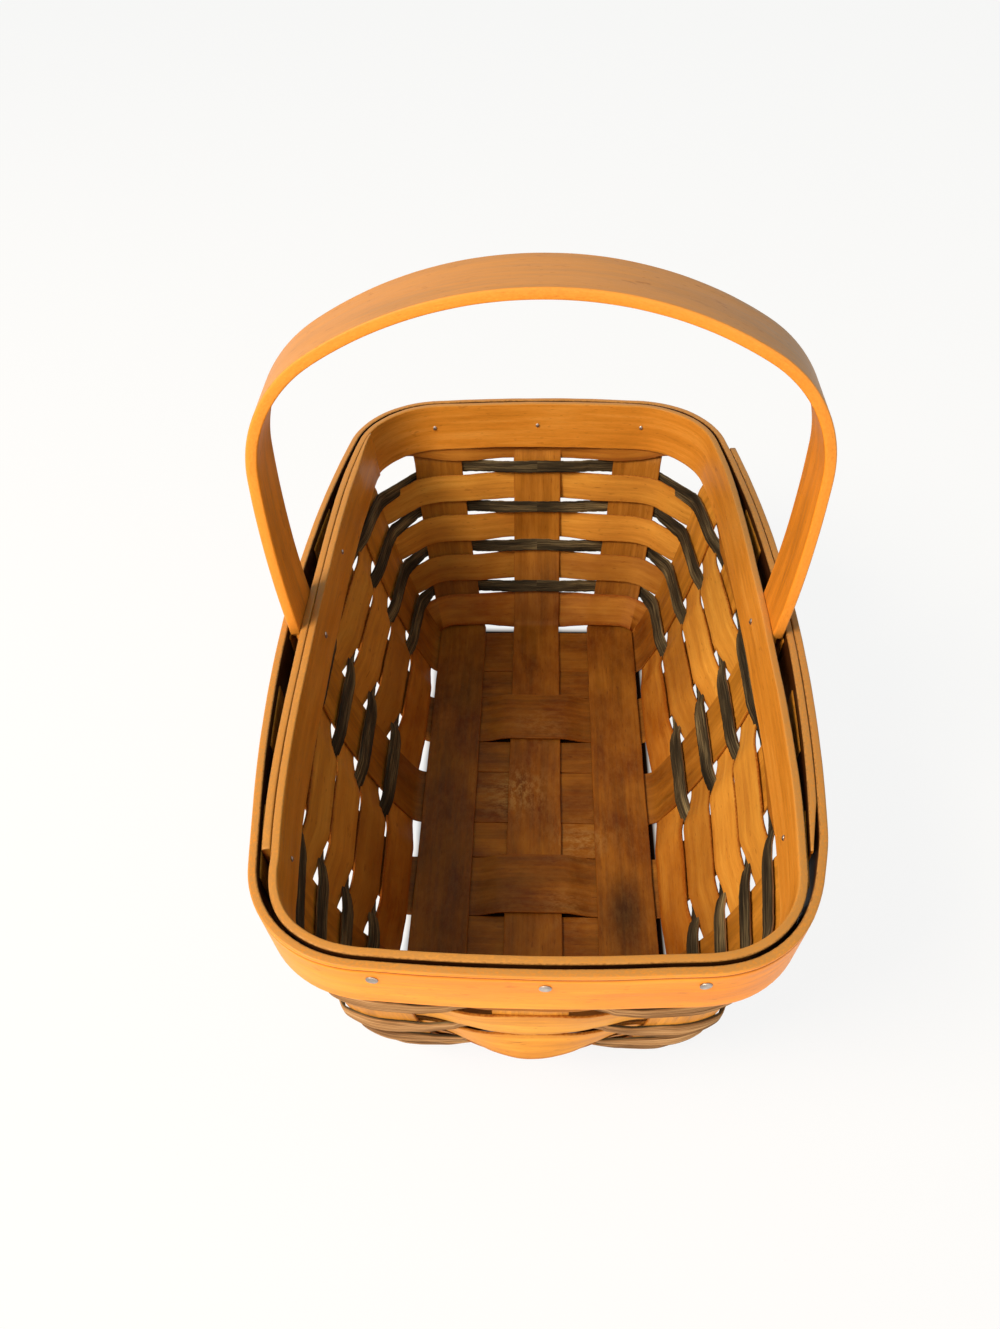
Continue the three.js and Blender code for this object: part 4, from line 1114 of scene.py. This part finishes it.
def studio_white(name):
    """Plain white floor. The eye and reflections also see a share of even white, so the
    ground stays pale while the object still casts its shadow on it. Under the basket's floor
    that share is nothing and the ground is painted a dark shadow colour, so slits don't shine."""
    material, node = blank(name)
    place = node("TexCoord", out="Object")
    beyond = node("VectorMath", {0: place}, operation="ABSOLUTE")
    beyond = node("VectorMath", {0: beyond, 1: (HALF_WIDTH * MM, HALF_LENGTH * MM, 1.0)},
                  operation="SUBTRACT")
    beyond = node("VectorMath", {0: beyond, 1: (0, 0, 0)}, operation="MAXIMUM")
    beyond = node("VectorMath", {0: beyond}, operation="LENGTH")
    clear = node("MapRange", {0: beyond, 2: CLEAR_MM * MM, 4: GLOW})
    share = node("Math", {0: seen_directly(node), 1: clear}, operation="MULTIPLY")
    ground = node("Mix", {0: clear, 6: srgb(UNDER_SHADOW), 7: srgb(GROUND)}, data_type="RGBA")
    matt = node("BsdfDiffuse", {"Color": ground})
    even = node("Emission", {"Color": WHITE, "Strength": 1.0})
    both = node("MixShader", {0: share, 1: matt, 2: even})
    node("OutputMaterial", {"Surface": both})
    return material


corners = np.array([(-1, -1, 0), (1, -1, 0), (1, 1, 0), (-1, 1, 0)]) * FLOOR_HALF
mesh = bpy.data.meshes.new("studio_floor")
mesh.from_pydata((corners - [0, 0, FLOOR_BELOW * MM]).tolist(), [], [(0, 1, 2, 3)])
floor = in_scene("studio_floor", mesh)
floor.data.materials.append(studio_white("studio_white"))

world, node = blank("even_surround", bpy.data.worlds)
bpy.context.scene.world = world
seen = seen_directly(node)
strength = node("MapRange", {0: seen, 3: SURROUND})
shade = node("Mix", {0: seen, 6: srgb(AMBIENT), 7: WHITE}, data_type="RGBA")
back = node("Background", {"Color": shade, "Strength": strength})
node("OutputWorld", {"Surface": back})


def turned(right, up, backward):
    """Rotation that lays an object's x, y and z axes along the three directions."""
    return Matrix(np.stack([right, up, backward], -1).tolist())


def lamp(name, towards, distance, wide, tall, level):
    """Soft lamp. A white surface facing it takes the given level: for a lamp of power P at a
    distance d that level is P / (pi^2 d^2)."""
    data = bpy.data.lights.new(name, "AREA")
    data.shape = "RECTANGLE"
    data.size, data.size_y = wide, tall
    data.color = srgb(WARM)[:3]
    data.energy = level * math.pi ** 2 * distance ** 2
    way = np.array(towards) / np.linalg.norm(towards)
    side = np.cross([0, 0, 1.0], way)
    side /= np.linalg.norm(side)
    made = in_scene(name, data)
    made.location = LAMP_AIM + way * distance
    made.rotation_mode = "QUATERNION"
    made.rotation_quaternion = turned(side, np.cross(way, side), way).to_quaternion()


lamp("key_lamp", (-1.0, -0.65, 1.15), 1.3, 0.6, 0.6, 1.3)
lamp("front_lamp", (0.1, -1.0, 0.0), 1.5, 1.0, 0.08, 0.55)

# %% Camera
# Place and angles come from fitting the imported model's outline to the photograph
LONG_SIDE_PX, FOCAL_PX, SENSOR = 1329, 1100.0, 36.0
CAMERA_MM = (0.41, -258.68, 311.48)
YAW, TILT, ROLL = math.radians(-2.88), math.radians(43.33), math.radians(-1.56)
camera_data = bpy.data.cameras.new("photo_camera")
camera_data.sensor_width = SENSOR
camera_data.sensor_fit = "AUTO"
camera_data.lens = SENSOR * FOCAL_PX / LONG_SIDE_PX
camera_data.clip_start = 0.01
level_right = np.array([math.cos(YAW), -math.sin(YAW), 0])
forward = np.array([math.sin(YAW) * math.cos(TILT), math.cos(YAW) * math.cos(TILT),
                    -math.sin(TILT)])
level_up = np.cross(level_right, forward)
right = math.cos(ROLL) * level_right + math.sin(ROLL) * level_up
up = -math.sin(ROLL) * level_right + math.cos(ROLL) * level_up
camera = in_scene("photo_camera", camera_data)
camera.matrix_world = (Matrix.Translation([v * MM for v in CAMERA_MM])
                       @ turned(right, up, -forward).to_4x4())
bpy.context.scene.camera = camera
bpy.context.scene.view_settings.view_transform = "Standard"
print("camera at", tuple(round(v, 3) for v in camera.location))
